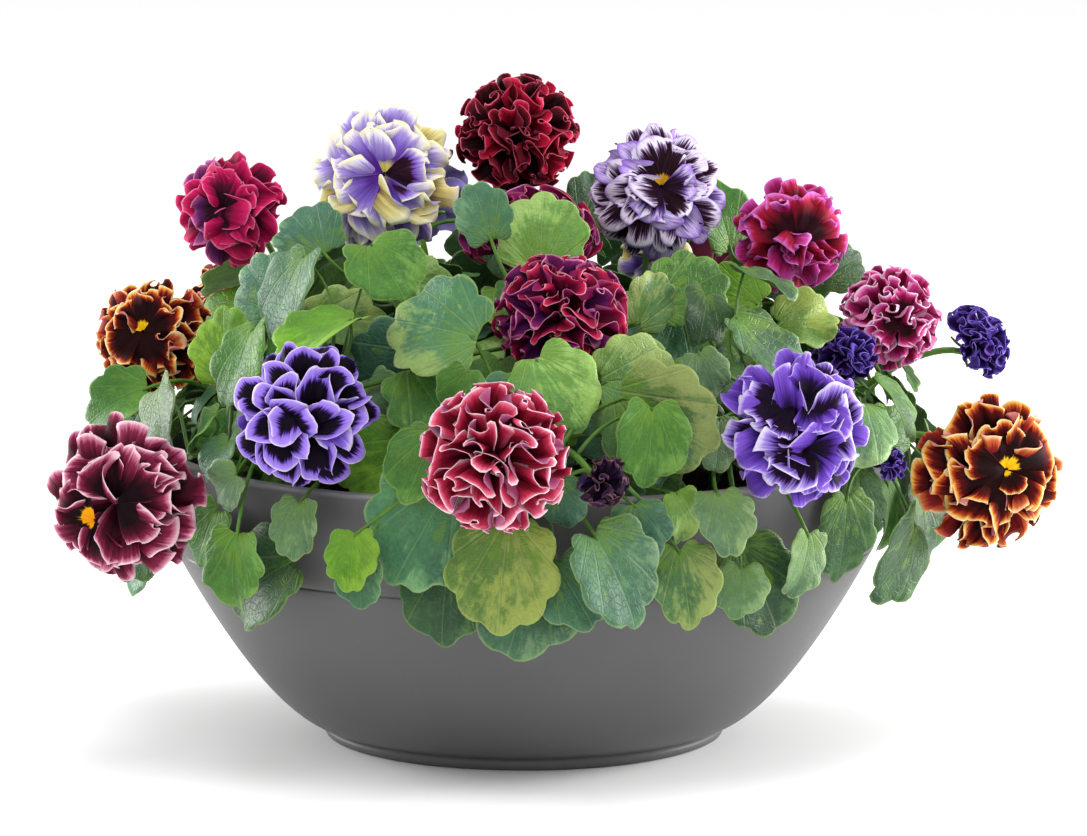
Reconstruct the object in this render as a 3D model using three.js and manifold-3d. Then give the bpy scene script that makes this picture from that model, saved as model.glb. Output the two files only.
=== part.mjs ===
// A bowl planter filled with ruffled pansies, in millimetres, +Z up.
// The origin is the centre of the foot's flat underside, and the front of the planter faces -Y.
import * as THREE from "three";
import { mergeVertices } from "three/addons/utils/BufferGeometryUtils.js";
import Module from "manifold-3d";

const wasm = await Module();
wasm.setup();

// Driving dimensions of the bowl and the soil.
const footRadius = 103;
const footHeight = 5.5;
const bellyRadius = 105;
const bellyHeight = 7;
const bellyCurve = 0.66;
const seamRadius = 181;
const seamHeight = 101;
const seamStep = 0.8;
const rimRadius = 190;
const bowlHeight = 152;
const wall = 3.6;
const lipWidth = 9;
const floorHeight = 10;
const innerHeights = [118, 60, 20];
const bowlSides = 32;
const drainRadius = 6;
const drainRing = 60;
const drainCount = 4;
const fitGap = 0.35;
const soilHeight = 131;
const soilSides = 16;
const soilBump = 2.2;

// Driving dimensions of the plants.
const crownRadius = 4.2;
const crownTop = 139;
const crownDepth = 16;
const stemRadius = 1.9;
const stemSteps = 5;
const petioleWidth = 3.2;
const petioleSteps = 2;
const rimArch = 22;
const bladeThickness = 0.9;
const petalThickness = 1.1;
const petalFrill = 0.15;
const coreShare = 0.4;
const bloomDepth = 0.8;

// The varieties of ruffled pansy in the bowl, as the main colour of the petals.
const varietyColours = {
  magenta: "#b01046",
  lavender: "#a893cf",
  darkRed: "#5e0716",
  blotched: "#b7a3cc",
  magentaRim: "#a8164a",
  pinkRim: "#b23a66",
  purple: "#4b2c96",
  copper: "#8e3416",
  violet: "#6a4bb8",
  roseRim: "#a92747",
  crimson: "#8c1238",
  purpleRim: "#8f7ccb",
  burgundy: "#6d1733",
  withered: "#33192e",
};

// Every bloom: its centre, diameter, and the way it faces. turn is measured from -Y towards +X and rise from the
// horizon, both in degrees. The first nineteen are the ones seen from the front.
const blooms = [
  { name: "bloom_magenta_left", variety: "magenta", at: [-150, 30, 267], size: 60, turn: -15, rise: 5 },
  { name: "bloom_lavender_left", variety: "lavender", at: [-71, 0, 286], size: 78, turn: -8, rise: 10 },
  { name: "bloom_dark_red_top", variety: "darkRed", at: [-3, 20, 307], size: 64, turn: 0, rise: 15 },
  { name: "bloom_blotched_right", variety: "blotched", at: [68, 0, 279], size: 71, turn: 5, rise: 5 },
  { name: "bloom_magenta_rim", variety: "magentaRim", at: [136, 10, 256], size: 60, turn: 10, rise: 5 },
  { name: "bloom_pink_rim", variety: "pinkRim", at: [187, 0, 215], size: 55, turn: 12, rise: 5 },
  { name: "bloom_purple_side", variety: "purple", at: [234, 40, 196], size: 42, turn: 70, rise: 35 },
  { name: "bloom_copper_right", variety: "copper", at: [233, -60, 145], size: 80, turn: 18, rise: 0 },
  { name: "bloom_violet_front", variety: "violet", at: [131, -155, 183], size: 78, turn: 20, rise: 10 },
  { name: "bloom_rose_front", variety: "roseRim", at: [-13, -224, 179], size: 75, turn: -6, rise: 15 },
  { name: "bloom_crimson_mid", variety: "crimson", at: [19, -120, 232], size: 70, turn: 5, rise: 45 },
  { name: "bloom_purple_rim", variety: "purpleRim", at: [-106, -162, 190], size: 73, turn: -12, rise: 14 },
  { name: "bloom_burgundy_left", variety: "burgundy", at: [-194, -134, 145], size: 84, turn: -25, rise: 0 },
  { name: "bloom_copper_left", variety: "copper", at: [-188, -10, 207], size: 63, turn: -15, rise: 5 },
  { name: "bloom_crimson_behind", variety: "crimson", at: [3, -24, 257], size: 74, turn: 180, rise: 75 },
  { name: "bloom_withered", variety: "withered", at: [38, -216, 166], size: 30, turn: 40, rise: -10 },
  { name: "bloom_purple_small", variety: "purple", at: [163, -32, 199], size: 35, turn: -20, rise: 40 },
  { name: "bloom_purple_bud", variety: "purple", at: [182, -102, 156], size: 19, turn: 30, rise: 30 },
  { name: "bloom_lilac_low", variety: "lavender", at: [68, 40, 238], size: 40, turn: 0, rise: 10 },
  { name: "bloom_lavender_back", variety: "lavender", at: [-62, 95, 262], size: 74, turn: 200, rise: 25 },
  { name: "bloom_rose_back", variety: "roseRim", at: [-22, 205, 178], size: 74, turn: 184, rise: 10 },
  { name: "bloom_burgundy_back", variety: "burgundy", at: [98, 142, 214], size: 76, turn: 150, rise: 15 },
  { name: "bloom_copper_back", variety: "copper", at: [-152, 142, 196], size: 70, turn: 228, rise: 10 },
];

// Every plant: where it is rooted, and the blooms that it carries.
const plants = [
  { name: "plant_magenta_left", root: [-98, 22], blooms: [0] },
  { name: "plant_lavender_left", root: [-52, 6], blooms: [1] },
  { name: "plant_dark_red", root: [2, 44], blooms: [2] },
  { name: "plant_blotched_right", root: [58, 4], blooms: [3, 18] },
  { name: "plant_magenta_rim", root: [106, 22], blooms: [4] },
  { name: "plant_pink_rim", root: [134, -14], blooms: [5, 16] },
  { name: "plant_purple", root: [148, 44], blooms: [6] },
  { name: "plant_copper_right", root: [146, -54], blooms: [7, 17] },
  { name: "plant_violet", root: [92, -96], blooms: [8] },
  { name: "plant_rose_front", root: [-6, -142], blooms: [9, 15] },
  { name: "plant_crimson", root: [12, -62], blooms: [10, 14] },
  { name: "plant_purple_rim", root: [-72, -100], blooms: [11] },
  { name: "plant_burgundy_left", root: [-122, -84], blooms: [12] },
  { name: "plant_copper_left", root: [-146, -20], blooms: [13] },
  { name: "plant_lavender_back", root: [-44, 88], blooms: [19] },
  { name: "plant_rose_back", root: [-16, 144], blooms: [20] },
  { name: "plant_burgundy_back", root: [78, 106], blooms: [21] },
  { name: "plant_copper_back", root: [-102, 92], blooms: [22] },
];

const golden = 137.508;
const radians = THREE.MathUtils.degToRad;
const vector = (...xyz) => new THREE.Vector3(...xyz);

// A repeatable stream of numbers from 0 to 1.
function randomFrom(seed) {
  let state = seed >>> 0;
  return () => {
    state = (state + 0x6d2b79f5) >>> 0;
    let t = Math.imul(state ^ (state >>> 15), state | 1);
    t ^= t + Math.imul(t ^ (t >>> 7), t | 61);
    return ((t ^ (t >>> 14)) >>> 0) / 4294967296;
  };
}

// A closed geometry as a manifold-3d solid, with its shared vertices merged and collapsed faces dropped.
function solidOf(geometry) {
  const bare = geometry.clone();
  bare.deleteAttribute("normal");
  bare.deleteAttribute("uv");
  const merged = mergeVertices(bare, 1e-4);
  const index = merged.index.array;
  const kept = [];
  for (let i = 0; i < index.length; i += 3) {
    const [a, b, c] = [index[i], index[i + 1], index[i + 2]];
    if (a !== b && b !== c && c !== a) kept.push(a, b, c);
  }
  const vertProperties = new Float32Array(merged.attributes.position.array);
  return new wasm.Manifold(
    new wasm.Mesh({ numProp: 3, vertProperties, triVerts: new Uint32Array(kept) }),
  );
}

// The largest body of a solid, as a geometry. Loose scraps left by joining are dropped.
function geometryOf(solid) {
  const bodies = solid.decompose().sort((a, b) => b.volume() - a.volume());
  const mesh = bodies[0].getMesh();
  const geometry = new THREE.BufferGeometry();
  geometry.setAttribute("position", new THREE.BufferAttribute(mesh.vertProperties, 3));
  geometry.setIndex(new THREE.BufferAttribute(mesh.triVerts, 1));
  geometry.computeVertexNormals();
  return geometry;
}

// A profile of [radius, height] points turned about the Z axis, from the end that leaves the faces outwards. lift
// says how far each point is then raised.
function turned(profile, sides, lift = () => 0) {
  const solids = [profile, profile.toReversed()].map((order) => {
    const points = order.map(([radius, height]) => new THREE.Vector2(radius, height));
    const lathe = new THREE.LatheGeometry(points, sides).rotateX(Math.PI / 2);
    const position = lathe.attributes.position;
    for (let i = 0; i < position.count; i++) {
      const [x, y, z] = [position.getX(i), position.getY(i), position.getZ(i)];
      position.setZ(i, z + lift(x, y, z));
    }
    return solidOf(lathe);
  });
  return solids.find((solid) => solid.volume() > 0);
}

// A thin sheet of points and triangles thickened along its normals into a closed solid, split alike on both faces.
function thickened(points, triangles, thickness) {
  const normals = points.map(() => vector());
  const edges = new Map();
  for (const [a, b, c] of triangles) {
    const side = points[b].clone().sub(points[a]);
    const face = side.cross(points[c].clone().sub(points[a]));
    for (const corner of [a, b, c]) normals[corner].add(face);
    for (const [from, to] of [[a, b], [b, c], [c, a]]) {
      if (edges.has(to + "," + from)) edges.delete(to + "," + from);
      else edges.set(from + "," + to, [from, to]);
    }
  }
  const positions = [];
  for (const sign of [1, -1]) {
    points.forEach((point, i) => {
      const offset = normals[i].clone().normalize().multiplyScalar((sign * thickness) / 2);
      positions.push(...point.clone().add(offset).toArray());
    });
  }
  const under = points.length;
  const index = [];
  for (const [a, b, c] of triangles) index.push(a, b, c, under + a, under + c, under + b);
  for (const [from, to] of edges.values()) {
    index.push(from, under + from, under + to, from, under + to, to);
  }
  const geometry = new THREE.BufferGeometry();
  geometry.setAttribute("position", new THREE.Float32BufferAttribute(positions, 3));
  geometry.setIndex(index);
  return solidOf(geometry);
}

// A rod of a few sides along a curve.
function rod(curve, radius, sides, steps) {
  const section = new THREE.Shape();
  for (let i = 0; i < sides; i++) {
    const angle = (2 * Math.PI * i) / sides;
    const [x, y] = [radius * Math.cos(angle), radius * Math.sin(angle)];
    if (i === 0) section.moveTo(x, y);
    else section.lineTo(x, y);
  }
  section.closePath();
  const made = new THREE.ExtrudeGeometry(section, { steps, extrudePath: curve, bevelEnabled: false });
  return solidOf(made);
}

// The bowl's outer radius at a height: a belly that rises steeply from the foot, then the band above the seam.
function outerRadius(height) {
  if (height <= seamHeight) {
    const share = Math.max(0, (height - bellyHeight) / (seamHeight - bellyHeight));
    return bellyRadius + (seamRadius - bellyRadius) * share ** bellyCurve;
  }
  const share = Math.min(1, (height - seamHeight) / (bowlHeight - seamHeight));
  return seamRadius + (rimRadius - seamRadius) * share ** 0.85;
}

// The inner radius leaves the same wall, measured square to the surface, and never reaches under the lip.
function innerRadius(height) {
  const slope = outerRadius(height + 1) - outerRadius(height - 1);
  return Math.min(outerRadius(height) - wall * Math.hypot(1, slope / 2), rimRadius - lipWidth);
}

function bowlSolid() {
  const bellyHeights = [13, 26, 46, 72];
  const profile = [
    [0, 0],
    [footRadius - 2, 0],
    [footRadius, footHeight - 2],
    [footRadius - 0.5, footHeight],
    [bellyRadius, bellyHeight],
    ...bellyHeights.map((height) => [outerRadius(height), height]),
    [seamRadius - seamStep, seamHeight],
    [seamRadius, seamHeight + seamStep],
    [rimRadius, bowlHeight - 2],
    [rimRadius - 2, bowlHeight],
    [rimRadius - lipWidth, bowlHeight],
    ...innerHeights.map((height) => [innerRadius(height), height]),
    [innerRadius(20) - 12, floorHeight],
    [0, floorHeight],
  ];
  let made = turned(profile, bowlSides);
  for (let i = 0; i < drainCount; i++) {
    const angle = (2 * Math.PI * i) / drainCount;
    const hole = new THREE.CylinderGeometry(drainRadius, drainRadius, 3 * floorHeight, 6).rotateX(Math.PI / 2);
    hole.translate(drainRing * Math.cos(angle), drainRing * Math.sin(angle), 0);
    made = made.subtract(solidOf(hole));
  }
  return made;
}

// Potting soil with a lumpy top. Each plant's crown stands in a plain hole in it.
function soilSolid() {
  const heights = innerHeights.toReversed();
  const profile = [
    [0, floorHeight + fitGap],
    [innerRadius(20) - 12 - fitGap, floorHeight + fitGap],
    ...heights.map((height) => [innerRadius(height) - fitGap - 0.2, height]),
    [innerRadius(soilHeight) - 2, soilHeight - 3],
    [innerRadius(soilHeight) * 0.7, soilHeight],
    [innerRadius(soilHeight) * 0.35, soilHeight],
    [0, soilHeight],
  ];
  const lump = (x, y, z) => (z > soilHeight - 1 ? soilBump * Math.sin(x / 17) * Math.cos(y / 21) : 0);
  let made = turned(profile, soilSides, lump);
  for (const plant of plants) made = made.subtract(crown(plant, crownRadius + 0.6, crownDepth + 1, 12));
  return made;
}

// A plant's crown: the short upright base that its stems spring from.
function crown(plant, radius, depth, above) {
  const bottom = soilHeight - depth;
  const length = crownTop + above - bottom;
  const post = new THREE.CylinderGeometry(radius, radius, length, 5).rotateX(Math.PI / 2);
  return solidOf(post.translate(plant.root[0], plant.root[1], bottom + length / 2));
}

// The unit vector that a bloom faces.
function facing(bloom) {
  const [turn, rise] = [radians(bloom.turn), radians(bloom.rise)];
  return vector(Math.sin(turn) * Math.cos(rise), -Math.cos(turn) * Math.cos(rise), Math.sin(rise));
}

// A flower stem rises from the crown, arches over and meets the back of its bloom's heart with a small gap.
function stemCurve(plant, bloom) {
  const from = vector(plant.root[0], plant.root[1], crownTop - 4);
  const ahead = facing(bloom);
  const arrive = ahead.clone().multiplyScalar(26);
  if (bloom.at[2] < 200) arrive.z -= 20;
  const tilt = arrive.angleTo(ahead);
  const reach = (bloom.size / 2) * coreShare * bloomDepth + fitGap + stemRadius * Math.sin(tilt);
  const to = vector(...bloom.at).addScaledVector(ahead, -reach);
  const rise = Math.max(60, to.z - from.z);
  const lead = vector(from.x + (to.x - from.x) * 0.2, from.y + (to.y - from.y) * 0.2, from.z + 0.6 * rise);
  return new THREE.CubicBezierCurve3(from, lead, to.clone().sub(arrive), to);
}

// A leaf blade's surface. share runs from the middle of the blade to its margin, and angle round it from the tip.
function leafPoint(leaf, share, angle) {
  const [along, side] = [Math.cos(angle), Math.sin(angle)];
  const fromBase = Math.abs(Math.PI - angle);
  const notch = 1 - 0.3 * Math.exp(-((fromBase / 0.4) ** 2));
  const reach = share * notch * (1 + 0.07 * Math.cos(leaf.teeth * angle));
  const x = leaf.length * (0.47 + 0.53 * reach * along);
  const y = 0.5 * leaf.width * reach * side * (1 - 0.14 * along);
  const fade = Math.sqrt((1 + along) / 2 + 1e-9);
  const wave = leaf.wave * share ** 2 * fade * Math.sin(leaf.waves * angle + leaf.phase);
  const droop = leaf.droop * leaf.length * (x / leaf.length) ** 2;
  return vector(x, y, leaf.cup * Math.abs(y) - droop + wave);
}

// The frame that a blade lies in: its base, the way to its tip, and its upper face.
function leafFrame(leaf) {
  const side = new THREE.Vector3().crossVectors(leaf.up, leaf.tip).normalize();
  const up = new THREE.Vector3().crossVectors(leaf.tip, side);
  return new THREE.Matrix4().makeBasis(leaf.tip, side, up).setPosition(leaf.base);
}

// A petiole runs from the blade's base back to its stem. One that leaves the bowl arches over the rim.
function petioleCurve(leaf) {
  const start = leafPoint(leaf, 1, Math.PI).applyMatrix4(leafFrame(leaf));
  const bend = start.clone().addScaledVector(leaf.tip, -0.45 * start.distanceTo(leaf.from));
  const middle = leaf.from.clone().lerp(bend, 0.6);
  if (Math.hypot(start.x, start.y) > rimRadius - 2 * lipWidth) {
    bend.z = Math.max(bend.z, bowlHeight + rimArch);
    middle.z = Math.max(middle.z, bowlHeight + rimArch);
  }
  return new THREE.CubicBezierCurve3(start, bend, middle, leaf.from);
}

// Points at even steps along a curve drawn as a few straight lengths, leaving out its two ends.
function pointsAlong(curve, steps, spacing) {
  const joints = curve.getSpacedPoints(steps);
  const count = Math.ceil(curve.getLength() / steps / spacing);
  const points = joints.slice(1).flatMap((joint, i) =>
    Array.from({ length: count }, (_, j) => joints[i].clone().lerp(joint, (j + 1) / count)),
  );
  return points.slice(0, -1);
}

// The room that each piece of foliage needs round its middle. Leaves of one plant may come nearer each other by
// ownShare, and bloomBack is how thick a bloom counts as behind its middle, as a share of its radius.
const leafRoom = 4.6;
const petioleRoom = 2.6;
const stemRoom = 3.6;
const jointRoom = 10;
const bloomRoom = 2;
const bloomBack = 0.42;
const ownShare = 0.85;

// A few points over a leaf, each with the room that it needs round it.
function leafSamples(leaf) {
  const frame = leafFrame(leaf);
  const samples = [];
  const add = (share, angle) =>
    samples.push({ at: leafPoint(leaf, share, angle).applyMatrix4(frame), room: leafRoom });
  add(0, 0);
  for (let i = 0; i < 6; i++) add(0.5, (Math.PI * (i + 0.5)) / 3);
  for (let i = 0; i < 12; i++) add(0.97, (Math.PI * i) / 6);
  for (const at of pointsAlong(petioleCurve(leaf), petioleSteps, 6)) {
    if (at.distanceTo(leaf.from) > jointRoom) samples.push({ at, room: petioleRoom });
  }
  return samples;
}

// True if a leaf's samples keep off the bowl's wall, the soil, every bloom and everything placed before it.
function isClear(samples, owner, placed) {
  for (const { at, room } of samples) {
    const radius = Math.hypot(at.x, at.y);
    const inside = radius < outerRadius(Math.max(0, at.z)) + room;
    if (inside && at.z < bowlHeight + room + 0.5 && radius > rimRadius - lipWidth - room - 1) return false;
    if (inside && at.z < soilHeight + soilBump + room) return false;
    for (const bloom of blooms) {
      const offset = at.clone().sub(vector(...bloom.at));
      const ahead = offset.dot(facing(bloom));
      const aside = Math.sqrt(Math.max(0, offset.lengthSq() - ahead * ahead));
      const reach = bloom.size / 2 + bloomRoom;
      if (Math.hypot(aside, ahead / (ahead > 0 ? bloomDepth : bloomBack)) < reach) return false;
    }
    for (const other of placed) {
      const need = (room + other.room) * (other.owner === owner ? ownShare : 1);
      if (at.distanceToSquared(other.at) < need * need) return false;
    }
  }
  return true;
}

// Where a leaf's petiole leaves its plant: the point of a stem that is nearest to the blade's base, but not too near
// it, with points above the base counting as further off.
function attach(leaf, stems) {
  let best = null;
  for (const { at, owner } of stems) {
    const distance = at.distanceTo(leaf.base);
    const cost = distance + 3 * Math.max(0, at.z - leaf.base.z + 4);
    if (distance < 12 || distance > 80) continue;
    if (!best || cost < best.cost) best = { at, owner, cost };
  }
  return best;
}

// The leaves that show most from the front: the middle of the blade, the way its tip points and its upper face
// looks, as [turn, rise] in degrees like a bloom's, then its length and width.
const frontLeaves = [
  { at: [-41, -150, 232], tip: [-70, 30], face: [-12, 30], length: 52, width: 54 },
  { at: [-60, -118, 205], tip: [-70, -10], face: [-15, 10], length: 58, width: 58 },
  { at: [-46, -197, 144], tip: [-60, -50], face: [-15, 20], length: 64, width: 62 },
  { at: [-14, -216, 120], tip: [-20, -75], face: [-5, 10], length: 58, width: 56 },
  { at: [40, -216, 131], tip: [50, -45], face: [10, 30], length: 58, width: 54 },
  { at: [72, -201, 116], tip: [40, -70], face: [20, 10], length: 44, width: 38 },
  { at: [66, -184, 182], tip: [50, -30], face: [5, 10], length: 60, width: 62 },
  { at: [52, -140, 206], tip: [70, 20], face: [10, 30], length: 48, width: 48 },
  { at: [63, -95, 236], tip: [60, 50], face: [20, 15], length: 34, width: 26 },
  { at: [9, -72, 266], tip: [10, 75], face: [0, 15], length: 42, width: 46 },
  { at: [-21, -76, 276], tip: [-40, 60], face: [-5, 20], length: 34, width: 30 },
  { at: [-58, -70, 244], tip: [60, 40], face: [-10, 30], length: 42, width: 34 },
  { at: [-111, -30, 261], tip: [-50, 50], face: [-15, 20], length: 36, width: 38 },
  { at: [-131, -50, 237], tip: [-60, 20], face: [-25, 25], length: 42, width: 42 },
  { at: [-98, -60, 226], tip: [60, 30], face: [-15, 35], length: 44, width: 38 },
  { at: [-146, -60, 204], tip: [-40, 70], face: [-30, 20], length: 44, width: 36 },
  { at: [-206, -40, 184], tip: [-100, -25], face: [-25, 30], length: 40, width: 36 },
  { at: [-142, -161, 117], tip: [-50, -70], face: [-35, 15], length: 40, width: 38 },
  { at: [-112, -172, 136], tip: [-40, -60], face: [-30, 20], length: 32, width: 28 },
  { at: [-88, -186, 130], tip: [-10, -60], face: [-20, 20], length: 34, width: 30 },
  { at: [-150, -74, 162], tip: [-95, 10], face: [-20, 20], length: 36, width: 34 },
  { at: [99, -180, 142], tip: [10, -50], face: [20, 30], length: 36, width: 32 },
  { at: [130, -167, 122], tip: [30, -70], face: [35, 12], length: 38, width: 32 },
  { at: [161, -135, 122], tip: [60, -80], face: [35, 5], length: 50, width: 36 },
  { at: [170, -112, 142], tip: [30, -50], face: [40, 20], length: 38, width: 30 },
  { at: [182, -66, 167], tip: [60, 30], face: [35, 25], length: 38, width: 30 },
  { at: [82, -44, 236], tip: [50, 40], face: [10, 30], length: 46, width: 40 },
  { at: [114, -30, 226], tip: [-30, 40], face: [15, 30], length: 42, width: 36 },
  { at: [142, -62, 222], tip: [60, 25], face: [15, 35], length: 36, width: 32 },
  { at: [163, 34, 236], tip: [60, 40], face: [20, 30], length: 32, width: 28 },
  { at: [104, 34, 262], tip: [20, 80], face: [40, 10], length: 42, width: 34 },
  { at: [34, 54, 268], tip: [60, 60], face: [20, 20], length: 34, width: 28 },
  { at: [19, -150, 187], tip: [20, 70], face: [0, 20], length: 30, width: 24 },
];
const frontTries = 140;
const frontJitter = 15;
const frontSway = 36;

// The rest of the foliage: leaves on a dome over the bowl, spread by the golden angle, each tried a few times.
const domeLeaves = 120;
const domeTries = 30;
const domeRadius = 212;
const domeTop = 146;
const domeBase = 122;

// A unit vector from [turn, rise] in degrees.
function aim([turn, rise]) {
  return facing({ turn, rise });
}

// The shape that every leaf draws from the random stream.
function leafShape(random) {
  return {
    cup: 0.12 + 0.22 * random(),
    droop: 0.1 + 0.2 * random(),
    wave: 1.5 + 2.5 * random(),
    waves: 2 + Math.floor(3 * random()),
    phase: 2 * Math.PI * random(),
  };
}

// A leaf seen from the front, moved and turned a little more with every try, and made a little smaller.
function frontLeaf(spec, attempt, random) {
  const strength = attempt / frontTries;
  const shift = () => 2 * frontJitter * strength * (random() - 0.5);
  const sway = () => 2 * frontSway * strength * (random() - 0.5);
  const size = 1 - 0.12 * strength;
  return {
    centre: vector(spec.at[0] + shift(), spec.at[1] + 1.5 * shift(), spec.at[2] + shift()),
    face: aim([spec.face[0] + sway(), spec.face[1] + sway()]),
    tip: aim([spec.tip[0] + sway(), spec.tip[1] + sway()]),
    length: spec.length * size,
    width: spec.width * size,
  };
}

// A leaf on the dome: it lies roughly along the dome's surface, with its tip pointing outwards and down.
function domeLeaf(i, random) {
  const turn = radians(i * golden + 40 * (random() - 0.5));
  const fromTop = Math.acos(1 - 0.98 * ((i + random()) / domeLeaves));
  const depth = 0.78 + 0.24 * random();
  const radial = vector(Math.sin(turn), -Math.cos(turn), 0);
  const centre = radial.clone().multiplyScalar(domeRadius * depth * Math.sin(fromTop));
  centre.z = domeBase + domeTop * depth * Math.cos(fromTop) ** 0.9;
  const face = radial.clone().multiplyScalar(Math.sin(fromTop)).add(vector(0, 0, 0.35 + Math.cos(fromTop)));
  face.add(vector(random() - 0.5, random() - 0.5, 0.6 * (random() - 0.5))).normalize();
  const sway = radians(100 * (random() - 0.5));
  const tip = radial.clone().multiplyScalar(Math.cos(fromTop) + 0.35).add(vector(0, 0, -Math.sin(fromTop)));
  tip.applyAxisAngle(face, sway);
  const length = 44 + 20 * random();
  return { centre, face, tip, length, width: length * (0.78 + 0.24 * random()) };
}

// Puts a leaf's frame together from the middle of its blade.
function withFrame(leaf, shape) {
  const up = leaf.face.clone().normalize();
  const tip = leaf.tip.clone().addScaledVector(up, -leaf.tip.dot(up)).normalize();
  const base = leaf.centre.clone().addScaledVector(tip, -0.47 * leaf.length);
  return { ...leaf, ...shape, up, tip, base, teeth: leaf.length > 56 ? 6 : 5 };
}

// Places every leaf and gives each to a plant.
function placeLeaves() {
  const random = randomFrom(25);
  const stems = [];
  plants.forEach((plant, owner) => {
    for (const index of plant.blooms) {
      const points = pointsAlong(stemCurve(plant, blooms[index]), stemSteps, 5);
      for (const at of points) stems.push({ at, room: stemRoom, owner });
    }
  });
  const placed = [...stems];
  const leaves = [];
  const place = (leaf) => {
    const root = attach(leaf, stems);
    if (!root) return false;
    leaf.from = root.at;
    leaf.owner = root.owner;
    const samples = leafSamples(leaf);
    if (!isClear(samples, leaf.owner, placed)) return false;
    for (const sample of samples) placed.push({ ...sample, owner: leaf.owner });
    leaves.push(leaf);
    return true;
  };
  for (const spec of frontLeaves) {
    const shape = leafShape(random);
    let done = false;
    for (let attempt = 0; attempt < frontTries && !done; attempt++) {
      done = place(withFrame(frontLeaf(spec, attempt, random), shape));
    }
  }
  for (let i = 0; i < domeLeaves; i++) {
    for (let attempt = 0; attempt < domeTries; attempt++) {
      const draft = domeLeaf(i, random);
      if (place(withFrame(draft, leafShape(random)))) break;
    }
  }
  return leaves;
}

// A leaf as one thin solid. The blade has a point for every tooth and gap round its margin, joined to its middle, and
// the petiole is a ribbon that carries on from two points at the blade's base.
function leafSolid(leaf) {
  const around = 2 * leaf.teeth;
  const frame = leafFrame(leaf);
  const points = [leafPoint(leaf, 0, 0).applyMatrix4(frame)];
  for (let i = 0; i < around; i++) {
    const point = leafPoint(leaf, 1, (2 * Math.PI * i) / around);
    if (2 * i === around) points.push(point.clone().setY(petioleWidth / 2).applyMatrix4(frame));
    if (2 * i === around) point.setY(-petioleWidth / 2);
    points.push(point.applyMatrix4(frame));
  }
  const count = points.length - 1;
  const triangles = Array.from({ length: count }, (_, i) => [0, 1 + i, 1 + ((i + 1) % count)]);
  const joints = petioleCurve(leaf).getSpacedPoints(petioleSteps);
  const across = new THREE.Vector3().setFromMatrixColumn(frame, 1);
  let [left, right] = [1 + leaf.teeth, 2 + leaf.teeth];
  for (let i = 1; i < joints.length; i++) {
    const way = joints[i].clone().sub(joints[i - 1]).normalize();
    const side = across.clone().addScaledVector(way, -across.dot(way)).setLength(petioleWidth / 2);
    points.push(joints[i].clone().add(side), joints[i].clone().sub(side));
    const [nextLeft, nextRight] = [points.length - 2, points.length - 1];
    triangles.push([left, nextLeft, nextRight], [left, nextRight, right]);
    [left, right] = [nextLeft, nextRight];
  }
  return thickened(points, triangles, bladeThickness);
}

function plantSolid(plant, owner, leaves) {
  const pieces = [crown(plant, crownRadius, crownDepth, 0)];
  for (const index of plant.blooms) pieces.push(rod(stemCurve(plant, blooms[index]), stemRadius, 4, stemSteps));
  for (const leaf of leaves) {
    if (leaf.owner === owner) pieces.push(leafSolid(leaf));
  }
  return wasm.Manifold.union(pieces);
}

// The ruffled layers of a full bloom and a small one. Each is a ring of petals run together: theta is how far the
// layer leans from the way the bloom faces, and frills counts the points along each petal's margin.
const fullLayers = [
  { theta: 90, bend: 24, petals: 5, frills: 4 },
  { theta: 50, bend: 22, petals: 4, frills: 3 },
];
const smallLayers = [{ theta: 72, bend: 20, petals: 4, frills: 3 }];

// A point of a layer in its bloom's own frame, where the bloom faces +Z. along runs from the heart to the margin,
// and frill lifts the point to one side of the layer or the other.
function layerPoint(layer, radius, along, angle, frill) {
  const lean = layer.theta - layer.bend * (1 - along);
  const [low, high] = [Math.sin(lean), Math.cos(lean)];
  const point = vector(Math.cos(angle) * low, Math.sin(angle) * low, high).multiplyScalar(radius * along);
  const over = vector(-Math.cos(angle) * high, -Math.sin(angle) * high, low);
  point.addScaledVector(over, frill * radius).setLength(radius * along);
  point.z *= bloomDepth;
  return point;
}

function layerSolid(layer, radius) {
  const { petals, frills } = layer;
  const full = petals * frills;
  const angle = (i, count) => layer.turn + (2 * Math.PI * i) / count;
  const points = [];
  for (const along of [0.2, 0.5]) {
    for (let i = 0; i < petals; i++) points.push(layerPoint(layer, radius, along, angle(i + 0.5, petals), 0));
  }
  for (let i = 0; i < full; i++) {
    const gap = i % frills === 0;
    const frill = gap ? -petalFrill : petalFrill * (i % 2 ? 1 : -1);
    points.push(layerPoint(layer, radius, gap ? 0.84 : 1, angle(i, full), frill));
  }
  const triangles = [];
  for (let i = 0; i < petals; i++) {
    const next = (i + 1) % petals;
    triangles.push([i, petals + i, petals + next], [i, petals + next, next]);
    const half = Math.ceil(frills / 2);
    const margin = (step) => 2 * petals + ((i * frills + half + step) % full);
    for (let step = 0; step < frills; step++) {
      triangles.push([petals + (step < half ? i : next), margin(step), margin(step + 1)]);
    }
    triangles.push([petals + i, margin(half), petals + next]);
  }
  return thickened(points, triangles, petalThickness);
}

function bloomSolid(bloom, random) {
  const radius = bloom.size / 2;
  const core = radius * coreShare;
  const heart = turned(
    [
      [0, -core * bloomDepth],
      [core * 0.6, -core * bloomDepth],
      [core, 0],
      [0, core * 0.9],
    ],
    5,
  );
  const pieces = [heart];
  const layers = bloom.size > 50 ? fullLayers : smallLayers;
  for (const { theta, bend, petals, frills } of layers) {
    const turn = 2 * Math.PI * random();
    const layer = { theta: radians(theta + 6 * random()), bend: radians(bend), petals, frills, turn };
    pieces.push(layerSolid(layer, radius));
  }
  return wasm.Manifold.union(pieces);
}

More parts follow.
